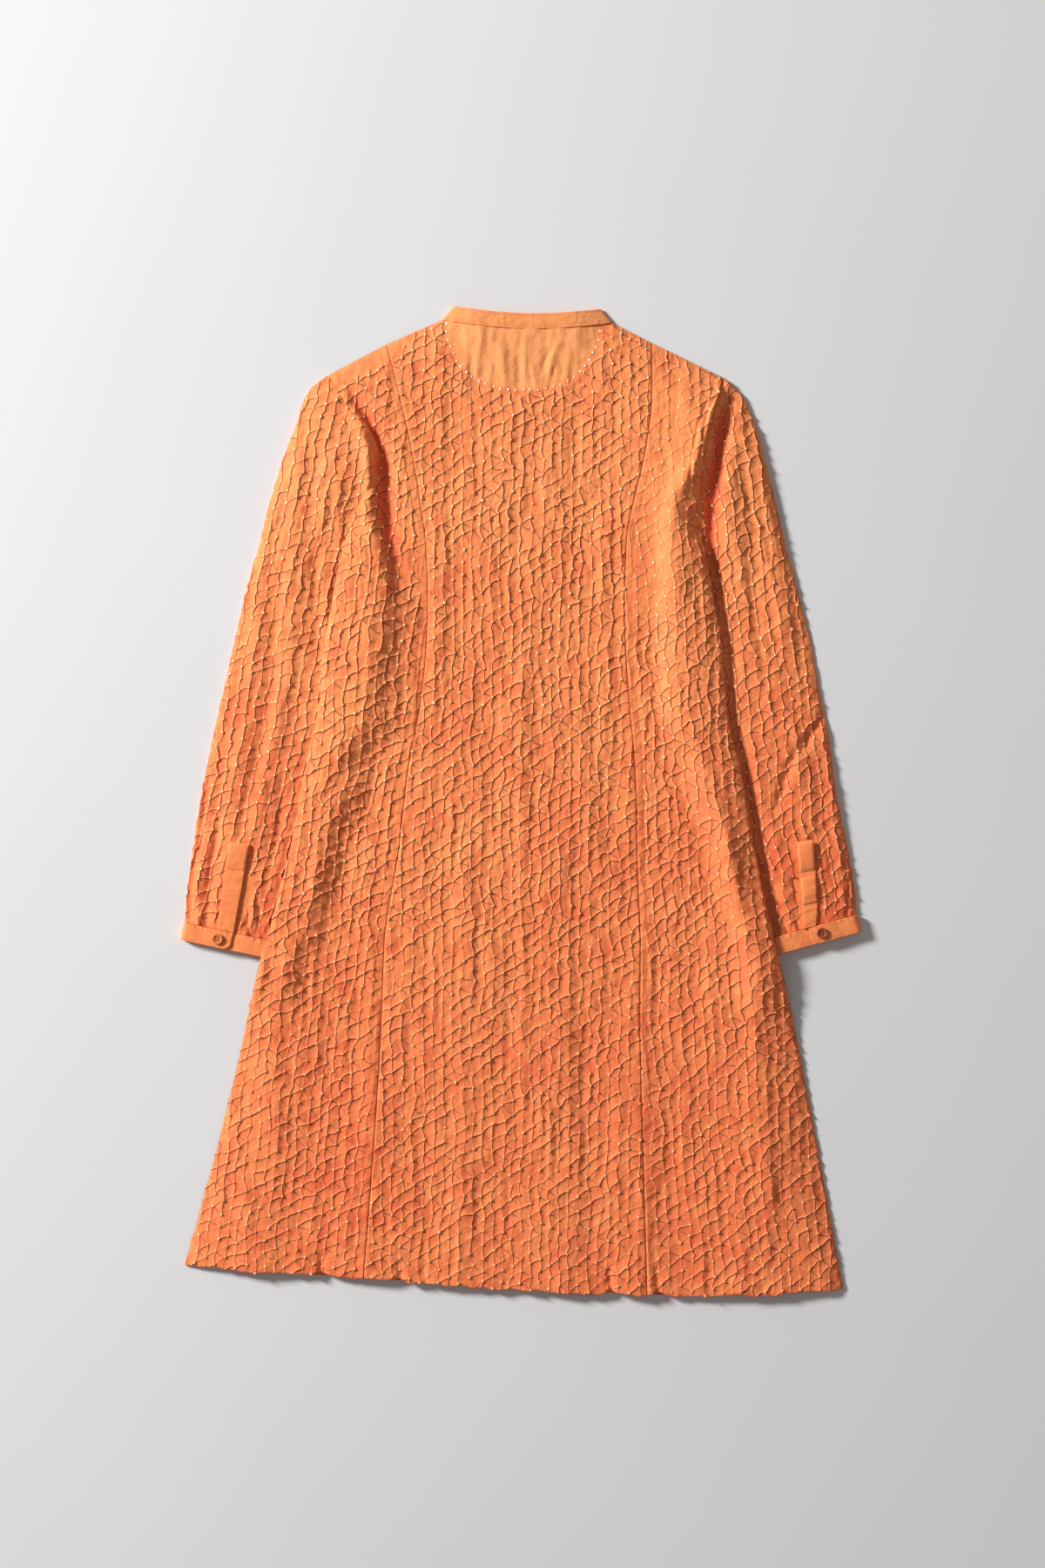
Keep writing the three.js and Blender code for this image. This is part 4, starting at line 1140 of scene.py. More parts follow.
def neck_crumple_at(plan, ring):
    """The soft waves of the plain cloth at the neck: fine ones that gather below the neckline, and
    wide slanting ones. Both are soft noise on wandering upright lines."""
    x, down = plan[..., 0], plan[..., 1]
    at_neck = 1 - smooth(ring / NECK_FADE)
    neck_share = np.clip((x - NECK["centre_x"]) / NECK["half_width"], -1, 1)
    below_neck = down - neck_point(neck_share, NECK["back_dip"])[..., 1]
    gather = mix(np.exp(-(below_neck / NECK_GATHER["reach"]) ** 2), 1, NECK_GATHER["least"])
    line = x + NECK_WANDER["reach"] * soft_noise(x, down, NECK_WANDER["size"], 34)
    waves = {kind: height * soft_noise(line + slant * down, down * share, size, layer)
             for kind, (height, slant, share, size, layer) in NECK_WAVES.items()}
    return at_neck * (gather * waves["fine"] + waves["wide"])


def back_panel(name, place, plan, lean, seams, drops, strip_width, shift=0.0):
    """A back panel: the model's form, plus its creases and streaks, plus the tied relief, less the
    grooves at its seams. Near the closed seams it rolls down to the front, as a quarter circle does."""
    place = place[:, None]
    x, down = plan[..., 0], plan[..., 1]
    closed = np.minimum.reduce([distance_to_line(plan, line) for line in CLOSED_LINES])
    seam_away = np.minimum.reduce([distance_to_line(plan, line) for line in seams])
    strip = 1 - smooth((seam_away - strip_width + STRIP_EASE) / (2 * STRIP_EASE))
    ring = neck_ring_at(plan)
    pinch = pinch_at(plan, ring, strip)
    u, v = dot_grid(plan, lean, shift)
    low = smooth((down - LOW_START) / LOW_REACH)[..., None]
    strength = tuck_strengths(u, v, BODY_GAINS) * pinch[..., None] * mix(1, np.array(LOW_GAINS), low)
    fade = between(closed, *EDGE_FADE)
    folds = creases_at(plan, ARMHOLE_CREASES + BODY_CREASES) + streaks_at(x, down, 20)
    height = back_under(place, plan, closed) + CLOTH_RISE + fade * folds
    height += tied_relief(u, v, strength) * mix(FLAT_SHARE, 1, pinch) - RELIEF_SUNK
    height += neck_crumple_at(plan, ring)
    height -= line_bell(seam_away, SEAM_GROOVE)
    if strip_width == SEAM_STRIP:
        height -= line_bell(seam_away - SEAM_STRIP, STITCHED_LINE)
    pucker = soft_noise(x * STRIP_PUCKER["squeeze"], down, STRIP_PUCKER["size"], 33)
    height += strip * STRIP_PUCKER["height"] * pucker
    height -= line_bell(distance_to_line(plan, ARMHOLES["left"]), ARMHOLE_GROOVE)
    front_top = lift_at(place, plan) + WALL
    rolled = np.sqrt(1 - (1 - np.clip(closed / EDGE_RADIUS, 0, 1)) ** 2)
    height = mix(front_top + EDGE_CLEARANCE, kept_above(height, front_top + BACK_CLEARANCE), rolled)
    plan = uneven_edges(plan, u, v)
    # The dye's depth, plus the painted shade of the armhole folds, less the plain cloth at the neck
    redness = redness_at(plan) + valley_painted_shade(plan) - NECK_PALENESS * (1 - between(ring, *NECK_DYE))
    surface = to_model(plan, height)
    keep = (pinch > DOT_PLACES["pinch"]) & (seam_away > strip_width - DOT_PLACES["into_strip"])
    keep &= (closed > DOT_PLACES["inside_edge"]) & (ring > DOT_PLACES["past_plain"])
    knots = add_knots(name + "_dots", surface, grid_normals(surface), u, v, lean, keep, DOTS)
    full_plan, full_height = turned_hem(plan, height)
    points = with_edges(to_model(full_plan, full_height), drops)
    attributes = tie_and_tuck(*dot_grid(full_plan, lean, shift), past_hem(redness), past_hem(strength))
    attributes = {label: padded_sides(values) for label, values in attributes.items()}
    piece = new_piece(name, points, grid_faces(*points.shape[:2])[:, ::-1], TIED, attributes)
    return piece, knots, surface


def stands_for(piece, node, slot, *others):
    """The node is hidden, and the piece shows in its place. The piece, the slot and the others are
    not read here.
    """
    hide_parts(node)


SEAM_PLACES = np.linspace(0, LAST_ROW, 60)
SEAM_LINES = {side: body_line("seam_" + side[0], SEAM_PLACES) for side in ("left", "right")}
CENTRE_GRID = (560, 158)
SIDE_GRID = (545, 100)
PANEL_LEAN = {"left": -0.107, "centre": 0.0, "right": 0.071}
SIDE_SHIFT = {"left": 0.25, "right": 0.4}
# How far the panels' edges turn down: little where they meet the front, more at the seams
SEAM_DROP = 1.3
SIDE_DROP = 0.2
ARMHOLE_DROP = 4.5
RIGHT_PLACES = side_panel("right", *SIDE_GRID)[0]
RIGHT_DROPS = mix(ARMHOLE_DROP, SIDE_DROP, between(RIGHT_PLACES, UNDERARM - 0.5, UNDERARM))
DROPS = {"left": (SIDE_DROP, SEAM_DROP), "right": (SEAM_DROP, past_hem(RIGHT_DROPS)[:, None])}
BACK_CENTRE, CENTRE_DOTS, CENTRE_SURFACE = back_panel(
    "back_centre_cloth", *centre_panel(*CENTRE_GRID), PANEL_LEAN["centre"], list(SEAM_LINES.values()),
    (SEAM_DROP, SEAM_DROP), SEAM_FOLD)
for side in ("left", "right"):
    cloth, dots, _ = back_panel(
        f"back_side_{side}_cloth", *side_panel(side, *SIDE_GRID), PANEL_LEAN[side], [SEAM_LINES[side]],
        DROPS[side], SEAM_STRIP, SIDE_SHIFT[side])
    stands_for(cloth, f"back_side_{side}", "tied_cloth", dots)

NECK_DOT_COUNT = 31
NECK_DOT_START = 0.10
NECK_DOT_HEIGHT = 1.3
NECK_DOT_STEPS = 400


def neck_dots(surface):
    """The row of dots round the plain part at the neck, evenly spaced along its edge. Each sits on the
    grid point of the surface nearest to it."""
    turn = np.linspace(NECK_DOT_START, np.pi - NECK_DOT_START, NECK_DOT_STEPS)
    power = 2 / NECK_PLAIN["power"]
    x = NECK_PLAIN["x"] - NECK_PLAIN["radius"] * np.sign(np.cos(turn)) * abs(np.cos(turn)) ** power
    down = NECK_PLAIN["down"] + NECK_PLAIN["radius"] * np.sin(turn) ** power
    run = np.r_[0, np.cumsum(np.hypot(np.diff(x), np.diff(down)))]
    even = np.linspace(0, run[-1], NECK_DOT_COUNT)
    x, down = np.interp(even, run, x), np.interp(even, run, down)
    model = to_model(np.stack([x, down], -1), 0 * x)
    flat, normals = surface.reshape(-1, 3), grid_normals(surface).reshape(-1, 3)
    near = np.argmin(((flat[None, :, :2] - model[:, None, :2]) ** 2).sum(-1), axis=1)
    return dot_mesh("neck_dots", flat[near], normals[near], NECK_DOT_HEIGHT, DOTS, whiteness=1.0)


NECK_DOTS = neck_dots(CENTRE_SURFACE)
stands_for(BACK_CENTRE, "back_centre", "tied_cloth", CENTRE_DOTS, NECK_DOTS)

# The front: two side panels and two centre panels of the same tied cotton, beneath the back
# The front's outside faces the surface. It is cut like the back, with a deeper neckline, and its
# centre panels meet along the middle.
FRONT_RISE = 0.5
FRONT_RELIEF = 0.5
FRONT_SHIFT = 0.2
FRONT_SIDE_GRID = (240, 50)
FRONT_CENTRE_GRID = (240, 44)
FRONT_NECK_DOWN = float(neck_point(0, NECK["front_dip"])[1])
HEM_CENTRE_X = -15.0


def centre_line_x(down):
    """x along the front's centre line, a straight line from the neck to the hem."""
    return mix(NECK["centre_x"], HEM_CENTRE_X, (down - FRONT_NECK_DOWN) / (LENGTH - FRONT_NECK_DOWN))


def front_centre_panel(side, rows, columns):
    """Places and plan points of a front centre panel, from the curved seam to the centre line."""
    left = side == "left"
    place = even_places(("seam_l", "seam_r"), rows)
    seam = body_line("seam_l" if left else "seam_r", place)
    inset = SEAM_GAP / 2 if left else -SEAM_GAP / 2
    seam[:, 0] += inset
    hem_down = (BODY["seam_l_down"][-1] + BODY["seam_r_down"][-1]) / 2 + HEM_BOW["centre"]
    centre_down = mix(FRONT_NECK_DOWN, hem_down, shares(seam[:, 1]))
    centre = np.stack([centre_line_x(centre_down) - inset, centre_down], -1)
    start, end = (seam, centre) if left else (centre, seam)
    x = np.linspace(start[0, 0], end[0, 0], columns)
    share = np.clip((x - NECK["centre_x"]) / NECK["half_width"], -1, 1)
    corner = neck_point(-1 if left else 1, 0)
    shoulder = mix(corner[1], seam[0, 1], (x - corner[0]) / (seam[0, 0] - corner[0]))
    outside = x < corner[0] if left else x > corner[0]
    down = np.where(outside, shoulder, neck_point(share, NECK["front_dip"])[:, 1])
    hem = edge_between(start[-1], end[-1], shares(x), 0)
    return place, coons(start, end, np.stack([x, down], -1), hem, shares(x), shares(seam[:, 1]))


def front_panel(name, place, plan, lean):
    """A front panel, one layer just clear of the surface: the lift of the sleeve beneath, plus a share
    of the tied relief, which only rises, so that its outside stays flat where it rests."""
    u, v = dot_grid(plan, lean, FRONT_SHIFT)
    strength = tuck_strengths(u, v, BODY_GAINS)
    height = lift_at(place[:, None], plan) + FRONT_RISE + FRONT_RELIEF * tied_relief(u, v, strength)
    full_plan, full_height = turned_hem(plan, height, up=-1)
    full_u, full_v = dot_grid(full_plan, lean, FRONT_SHIFT)
    attributes = tie_and_tuck(full_u, full_v, past_hem(redness_at(plan)), past_hem(strength))
    faces = grid_faces(*full_height.shape)
    return new_piece(name, to_model(full_plan, full_height), faces, TIED, attributes)


for side in ("left", "right"):
    cloth = front_panel(f"front_side_{side}_cloth", *side_panel(side, *FRONT_SIDE_GRID), PANEL_LEAN[side])
    stands_for(cloth, f"front_side_{side}", "tied_cloth")
    cloth = front_panel(
        f"front_centre_{side}_cloth", *front_centre_panel(side, *FRONT_CENTRE_GRID), PANEL_LEAN["centre"])
    stands_for(cloth, f"front_centre_{side}", "tied_cloth")

# The front placket: a plain strip of folded cotton that hides the front's opening
# It is stitched flat along the centre line, from the neck down.
PLACKET_WIDTH = 28.0
PLACKET_LENGTH = 300.0
PLACKET_INSET = 2.0
PLACKET_MIDDLE = 0.27
PLACKET_HALF = 0.17
PLACKET_GRID = (90, 40)
PLACKET_SQUARENESS = 0.25
PLACKET_END_POWER = 60


def placket_strip():
    """A closed flat tube: across it the fourth root of a cosine, which makes square sides, and up it a
    sine, pressed shut at both ends."""
    rows, columns = PLACKET_GRID
    down = np.linspace(FRONT_NECK_DOWN + PLACKET_INSET, FRONT_NECK_DOWN + PLACKET_LENGTH, rows)[:, None]
    turn = np.linspace(0, 2 * np.pi, columns, endpoint=False)[None]
    flat = np.sign(np.cos(turn)) * abs(np.cos(turn)) ** PLACKET_SQUARENESS
    x = centre_line_x(down) + PLACKET_WIDTH / 2 * flat
    from_middle = abs(2 * shares(down[:, 0]) - 1)[:, None]
    ends = np.sqrt(np.clip(1 - from_middle ** PLACKET_END_POWER, 0, 1))
    height = PLACKET_MIDDLE + PLACKET_HALF * ends * np.sin(turn)
    faces = [grid_faces(rows, columns, closed=True), cap_faces(rows, columns, 0)]
    return new_piece("front_placket_cloth", to_model(np.stack([x, down + 0 * x], -1), height), faces, PLAIN)


FRONT_PLACKET = placket_strip()
stands_for(FRONT_PLACKET, "front_placket", "plain_cloth")

# The sleeves: long flat tubes from the armholes to the cuffs
# Each is one piece of the tied cloth, folded flat at both sides, with a round head at the armhole.
# A slit beside the placket band opens it at the wrist.
SLEEVE_ROWS = {
    # outer x, outer down, inner x, inner down, bow, crown
    "left": [
        (-217, 86, -173, 228, 0.75, 3), (-229, 117, -174.5, 238, 0.5, 4), (-242, 152, -176, 249, 0.3, 4),
        (-256, 197, -176, 268, 0.15, 3), (-267, 241, -180, 290, 0.05, 1), (-280, 286, -175, 321, 0, 0),
        (-292, 339, -167, 366, 0, 0), (-303, 388, -172, 410, 0, 0), (-316, 446, -194, 461, 0, 0),
        (-326, 495, -208, 508, 0, 0), (-335, 553, -225, 562, 0, 0), (-341, 597, -240, 611, 0, 0),
        (-343, 627, -253, 646, 0, 0)],
    "right": [
        (225, 89, 179, 229, 0.75, 3), (238, 116, 179.5, 239, 0.5, 4), (248, 150, 180, 250, 0.3, 4),
        (259, 194, 180, 268, 0.15, 3), (270, 240, 184, 291, 0.05, 1), (282, 286, 180, 321, 0, 0),
        (295, 339, 174, 366, 0, 0), (304, 388, 177, 410, 0, 0), (315, 441, 196, 461, 0, 0),
        (322, 495, 208, 510, 0, 0), (333, 548, 224, 564, 0, 0), (341, 593, 242, 615, 0, 0),
        (342.5, 619, 254, 643, 0, 0)],
}
SLEEVE_NAMES = ["outer_x", "outer_down", "inner_x", "inner_down", "bow", "crown"]
ACROSS_SLEEVE = [0, 0.1, 0.22, 0.36, 0.5, 0.64, 0.78, 0.9, 1]
SLEEVE_LEAN = {"left": -0.2, "right": 0.13}
SLEEVE_GAINS = {
    "left": [(0.28, 0.52, 0.45, 1.0), (0.4, 0.66, 0.1, 0.8), (0.54, 0.72, 0.0, 0.5)],
    "right": [(0.28, 0.54, 0.4, 1.0), (0.38, 0.64, 0.15, 0.9), (0.54, 0.72, 0.0, 0.5)],
}
SLEEVE_CREASES = {
    "left": [
        ([(-182, 97), (-176, 120), (-173, 149)], -1.0, 1.6),
        ([(-186, 180), (-184, 262)], 1.8, 4.0),
        ([(-226, 128), (-232, 250), (-238, 380), (-250, 440), (-272, 540)], 2.2, 8.0),
        ([(-262, 260), (-276, 380), (-292, 470)], 1.5, 8.0),
        ([(-212, 160), (-210, 260), (-206, 360)], -1.6, 7.0),
        ([(-250, 330), (-262, 430), (-284, 520)], -1.7, 6.0),
        ([(-318, 480), (-328, 550), (-337, 590), (-338, 622)], (-2, -2.5, -4, -3.5), 3.4),
        ([(-243, 486), (-247, 530), (-262, 590)], -1.8, 4.5),
        ([(-306, 520), (-314, 570), (-318, 600), (-320, 636)], (-1.5, -3, -3.6, -2), 4.2),
        ([(-328, 560), (-330, 600), (-329, 630)], 1.6, 3.5),
        ([(-282, 600), (-276, 640)], -1.6, 2.6),
        ([(-268, 604), (-264, 645)], -1.4, 2.4),
    ],
    "right": [
        ([(196, 262), (202, 292), (212, 354), (216, 413), (231, 480), (246, 562), (258, 632)], -3.6, 6.0),
        ([(216, 84), (222, 100)], 1.6, 7.0),
        ([(240, 130), (256, 230), (268, 330)], 1.8, 8.0),
        ([(226, 150), (236, 240), (240, 330)], -1.4, 7.0),
        ([(308, 418), (290, 446), (276, 462), (262, 508)], -2.6, 5.0),
        ([(300, 540), (288, 590), (286, 640)], -2.2, 7.0),
        ([(318, 470), (326, 560), (330, 610)], 1.4, 6.0),
        ([(262, 540), (272, 600)], 1.2, 6.0),
    ],
}
SLEEVE_FOLD = 3.6
SLEEVE_SHIFT = 0.15
SLEEVE_SUNK = 0.7
SLEEVE_RISE = 0.3
LEAST_SLEEVE = 1.8
HEAD_EASE = {"start": 1.0, "reach": 4.0, "sunk": 0.5}
CUFF_EASE = {"start": 3.0, "reach": 8.0, "least": 0.15}
GATHER = {"reach": 22.0, "height": 1.1, "size": 3.2, "across": 100.0, "along": 0.12}
STREAKS_ACROSS = 120.0
SLEEVE_ARCH_POWER = 3
SLEEVE_DOT_EDGE = 3.0
SLEEVE_REDNESS = {"gain": 0.25, "start": 250.0, "reach": 300.0}
SLEEVE_UP_COLUMNS = 84
SLEEVE_LOW_COLUMNS = 26
CROWDING = {"up": 0.55, "low": 0.75}
SLEEVE_LENGTHS = 290
SLEEVE_END = 13.0
SLIT = {"across": 0.57, "centre": 12.0, "half": 25.0, "start": 0.12, "spread": 9.0, "edge": 3.5, "sunk": 0.7}
SLIT_WIDTH = {"left": 4.6, "right": 1.2}
INWARD = {"left": 1, "right": -1}


def sleeve_table(side):
    """The sleeve's rows as columns, with the armhole itself as the first."""
    out = -INWARD[side] * SEAM_GAP
    first, last = body_line(side, 0), body_line(side, UNDERARM)
    armhole = (first[0] + out, first[1], last[0] + out, last[1], 1, 0)
    return dict(zip(SLEEVE_NAMES, np.array([armhole, *SLEEVE_ROWS[side]], float).T))


def sleeve_folds(side, ring):
    """Plan points on the sleeve's outer and inner fold at ring numbers."""
    table = sleeve_table(side)
    return [np.stack([curve_at(table[fold + "_x"], ring), curve_at(table[fold + "_down"], ring)], -1)
            for fold in ("outer", "inner")]


def sleeve_plan(side, ring, across):
    """Plan points of the sleeve at a ring number and a share across, and the heights of its two
    layers: a chord from fold to fold, plus a share of the armhole's own curve."""
    table = sleeve_table(side)
    outer, inner = sleeve_folds(side, ring)
    bow, crown = ease_at(table["bow"], ring), ease_at(table["crown"], ring)
    arm_place = np.interp(across, ACROSS_SLEEVE, np.linspace(0, UNDERARM, len(ACROSS_SLEEVE)))
    seam = body_line(side, arm_place)
    chord = mix(body_line(side, 0), body_line(side, UNDERARM), across[..., None])
    plan = mix(outer, inner, across[..., None]) + bow[..., None] * (seam - chord)
    seam[..., 0] -= INWARD[side] * SEAM_GAP
    closed = np.minimum.reduce([distance_to_line(seam, line) for line in CLOSED_LINES])
    armhole_low = lift_at(arm_place, seam)
    armhole_top = armhole_low + 2 * WALL + hollow_at(closed)
    arch = 1 - abs(2 * across - 1) ** SLEEVE_ARCH_POWER
    head = crown * np.sin(np.pi * across)
    own = mix(SLEEVE_EDGE, SLEEVE_HEIGHT, arch) + head
    return plan, mix(own, armhole_top + head, bow), armhole_low * bow, inner - outer


def sleeve_places(side, count):
    """Ring numbers that are evenly spaced along the sleeve's middle line, how far each is along it,
    and how far along the middle of the slit is."""
    dense = np.linspace(0, SLEEVE_END, DENSE_STEPS)
    outer, inner = sleeve_folds(side, dense)
    middle = (outer + inner) / 2
    run = np.r_[0, np.cumsum(np.linalg.norm(np.diff(middle, axis=0), axis=1))]
    even = np.linspace(0, run[-1], count)
    return np.interp(even, run, dense), even, np.interp(SLIT["centre"], dense, run)


def crowded(even, crowding):
    """Even shares, moved towards both ends by a share of the way to (1 - cos(pi t))/2."""
    return mix(even, (1 - np.cos(np.pi * even)) / 2, crowding)


ALLOWANCE = 3.5
ALLOWANCE_DROP = 1.6
SLEEVE_PUCKER = 0.65


def fold_pucker(plan, u, v, from_fold):
    """Small sideways puckers along the sleeve's two folds, where its outline is: a wave that follows
    the dots, plus soft noise."""
    near = np.exp(-(from_fold / EDGE_PUCKER_REACH) ** 2)
    rhythm = EDGE_RHYTHM * np.cos(2 * np.pi * v) + edge_noise(plan, 38)
    out = near * SLEEVE_PUCKER * rhythm
    return np.stack([out, 0 * out], -1)


def opened_slit(side, ring, run, slit_run):
    """Shares across the upper layer, with the slit opened: beside its column the two sides move apart,
    by the square root of 1 - t² along the slit and by a bell across. Also the slit's column, the rows
    that it opens, and how near each point is to its edge."""
    across = crowded(np.linspace(0, 1, SLEEVE_UP_COLUMNS), CROWDING["up"])
    split = np.argmin(abs(across - SLIT["across"]))
    across = across[None] + 0 * ring[:, None]
    reach = np.sqrt(np.clip(1 - ((run - slit_run) / SLIT["half"]) ** 2, 0, 1))[:, None]
    on_slit = reach > SLIT["start"]
    outer, inner = sleeve_folds(side, ring)
    width = np.linalg.norm(inner - outer, axis=-1)[:, None]
    off = (across - across[:, split:split + 1]) * width
    way = np.where(np.arange(SLEEVE_UP_COLUMNS) <= split, -1, 1)
    away = way * SLIT_WIDTH[side] / width * reach * np.exp(-(off / SLIT["spread"]) ** 2)
    edge = on_slit * np.exp(-(off / SLIT["edge"]) ** 2)
    return across + on_slit * away, split, on_slit[:, 0], edge


def upper_layer(side, ring, run, across, slit_edge):
    """The sleeve's upper layer: its form, plus the tied relief, the creases, the streaks and the
    gathers at the cuff, rolled down to its two folds as quarter circles."""
    plan, top, bottom, chord = sleeve_plan(side, ring[:, None] + 0 * across, across)
    from_fold = np.minimum(across, 1 - across) * np.linalg.norm(chord, axis=-1)
    rolled = np.sqrt(1 - (1 - np.clip(from_fold / SLEEVE_FOLD, 0, 1)) ** 2)
    from_cuff = (run[-1] - run)[:, None]
    along = run[:, None] + 0 * across
    u, v = dot_grid(plan, SLEEVE_LEAN[side], SLEEVE_SHIFT)
    cuff_end = smooth((from_cuff - CUFF_EASE["start"]) / CUFF_EASE["reach"])
    head_end = smooth((distance_to_line(plan, ARMHOLES[side]) - HEAD_EASE["start"]) / HEAD_EASE["reach"])
    pinch = mix(CUFF_EASE["least"], 1, cuff_end) * head_end * (1 - slit_edge)
    strength = tuck_strengths(u, v, SLEEVE_GAINS[side]) * pinch[..., None]
    relief = tied_relief(u, v, strength) * mix(FLAT_SHARE, 1, pinch) - RELIEF_SUNK
    relief += creases_at(plan, ARMHOLE_CREASES + SLEEVE_CREASES[side])
    relief += streaks_at(across * STREAKS_ACROSS, along, 25)
    gather = soft_noise(across * GATHER["across"], along * GATHER["along"], GATHER["size"], 27)
    relief += GATHER["height"] * gather * (1 - between(from_cuff, 0, GATHER["reach"]))
    height = kept_above(top - SLEEVE_SUNK + relief, bottom + LEAST_SLEEVE)
    height = mix(SLEEVE_EDGE / 2 + bottom, height, rolled)
    height -= rolled * (HEAD_EASE["sunk"] * (1 - head_end) + SLIT["sunk"] * slit_edge)
    redder = smooth((plan[..., 1] - SLEEVE_REDNESS["start"]) / SLEEVE_REDNESS["reach"])
    # The dye's depth, plus the painted shade of the armhole folds, plus the deeper dye towards the cuff
    redness = redness_at(plan) + valley_painted_shade(plan) + SLEEVE_REDNESS["gain"] * redder
    surface = to_model(plan + fold_pucker(plan, u, v, from_fold), height)
    keep = (pinch > DOT_PLACES["pinch"]) & (from_fold > SLEEVE_DOT_EDGE)
    normals = grid_normals(surface) * INWARD[side]
    knots = add_knots(f"sleeve_{side}_dots", surface, normals, u, v, SLEEVE_LEAN[side], keep, DOTS)
    return surface, (u, v, redness, strength), knots


def lower_layer(side, ring):
    """The sleeve's lower layer, from the inner fold back to the outer one: flat on the surface, rolled
    up to its folds as quarter circles."""
    across = crowded(np.linspace(1, 0, SLEEVE_LOW_COLUMNS + 2)[1:-1], CROWDING["low"])
    across = across[None] + 0 * ring[:, None]
    plan, _, bottom, chord = sleeve_plan(side, ring[:, None] + 0 * across, across)
    from_fold = np.minimum(across, 1 - across) * np.linalg.norm(chord, axis=-1)
    rolled = np.sqrt(1 - (1 - np.clip(from_fold / SLEEVE_FOLD, 0, 1)) ** 2)
    height = mix(SLEEVE_EDGE / 2 + bottom, bottom + SLEEVE_RISE, rolled)
    u, v = dot_grid(plan, SLEEVE_LEAN[side], SLEEVE_SHIFT)
    strength = tuck_strengths(u, v, SLEEVE_GAINS[side])
    surface = to_model(plan + fold_pucker(plan, u, v, from_fold), height)
    return surface, (u, v, redness_at(plan), strength)


def sleeve_cloth(side):
    """One tube: its upper layer across from fold to fold, then its lower layer back, closed, and open
    along the slit. Its first row is the allowance, tucked inside the armhole."""
    ring, run, slit_run = sleeve_places(side, SLEEVE_LENGTHS)
    across, split, on_slit, slit_edge = opened_slit(side, ring, run, slit_run)
    upper, upper_values, knots = upper_layer(side, ring, run, across, slit_edge)
    lower, lower_values = lower_layer(side, ring)
    points = np.concatenate([upper, lower], 1)
    points[0, :, 0] += INWARD[side] * ALLOWANCE
    points[0, :SLEEVE_UP_COLUMNS, 2] -= ALLOWANCE_DROP
    points[..., 2] = np.maximum(points[..., 2], LOWEST)
    attributes = tie_and_tuck(*[np.concatenate(pair, 1) for pair in zip(upper_values, lower_values)])
    rows, columns = points.shape[:2]
    faces = grid_faces(rows, columns, closed=True)
    row, column = np.divmod(np.arange(len(faces)), columns)
    faces = faces[~((column == split) & on_slit[row] & on_slit[row + 1])]
    faces = faces[:, ::-INWARD[side]]
    return new_piece(f"sleeve_{side}_cloth", points, faces, TIED, attributes), knots


for side in ("left", "right"):
    cloth, dots = sleeve_cloth(side)
    stands_for(cloth, f"sleeve_{side}", "tied_cloth", dots)

# The sleeve plackets: a narrow plain band beside each slit, and the strip that shows in the slit
# The band is folded, stitched down and puffs up between its rows of stitches. The underlap lies
# a little below the sleeve's upper layer.
BAND_ACROSS = {
    # the band's middle at its top and at the cuff, and its width, as shares across the sleeve
    "left": (0.42, 0.47, 0.185),
    "right": (0.375, 0.55, 0.155),
}
BAND_FROM = 10.8
BAND_SUNK = -0.2
BAND_THICKNESS = 1.3
BAND_PUFFS = {
    # start and end as shares of the band's length, and how high that stretch puffs
    "left": [(0.0, 0.24, 1.6), (0.25, 1.0, 0.3)],
    "right": [(0.0, 0.27, 2.8), (0.32, 0.60, 2.5), (0.61, 1.0, 0.3)],
}
UNDERLAP_ACROSS = (0.565, 0.565, 0.17)
UNDERLAP_SUNK = {"left": -2.8, "right": -3.6}
UNDERLAP_FROM = 11.0
UNDERLAP_THICKNESS = 1.0
STRIP_GRID = (120, 36)
STRIP_SQUARENESS = 0.3
STRIP_END_POWER = 40
STRIP_WRINKLE = {"height": 0.3, "size": 4.5, "across": 30.0, "along": 100.0}
PUFF_POWERS = {"along": 0.45, "across": 0.8}


def strip_on_sleeve(name, side, start, across, base, thickness, puffs=()):
    """A closed flat cushion of cloth on the sleeve's upper face: its columns go over it and back, with
    a power of the cosine across and of the sine up, so that its sides are nearly square. A stretch
    that puffs adds a power of 4t(1 - t) along it."""
    rows, columns = STRIP_GRID
    along = np.linspace(0, 1, rows)[:, None]
    turn = np.linspace(0, 2 * np.pi, columns, endpoint=False)[None]
    flat = np.sign(np.cos(turn)) * abs(np.cos(turn)) ** STRIP_SQUARENESS
    share = mix(across[0], across[1], along) - across[2] / 2 * flat
    plan, top, _, _ = sleeve_plan(side, mix(start, SLEEVE_END, along) + 0 * share, share)
    ends = np.sqrt(np.clip(1 - abs(2 * along - 1) ** STRIP_END_POWER, 0, 1))
    upper = np.sin(turn) > 0
    puff = 0 * along
    for first, last, high in puffs:
        inside = np.clip((along - first) / (last - first), 0, 1)
        puff = puff + high * np.clip(4 * inside * (1 - inside), 0, 1) ** PUFF_POWERS["along"]
    thick = thickness / 2 * abs(np.sin(turn)) ** STRIP_SQUARENESS * ends
    raised = thick + puff * np.clip(np.sin(turn), 0, 1) ** PUFF_POWERS["across"] * ends
    height = top + base + thickness / 2 + np.where(upper, raised, -thick)
    wrinkle = soft_noise(
        share * STRIP_WRINKLE["across"], along * STRIP_WRINKLE["along"], STRIP_WRINKLE["size"], 41)
    height += STRIP_WRINKLE["height"] * wrinkle * upper * ends
    faces = [grid_faces(rows, columns, closed=True), cap_faces(rows, columns, 0)]
    faces = [part[:, ::-INWARD[side]] for part in faces]
    return new_piece(name, to_model(plan, height), faces, CUFF_PLAIN)


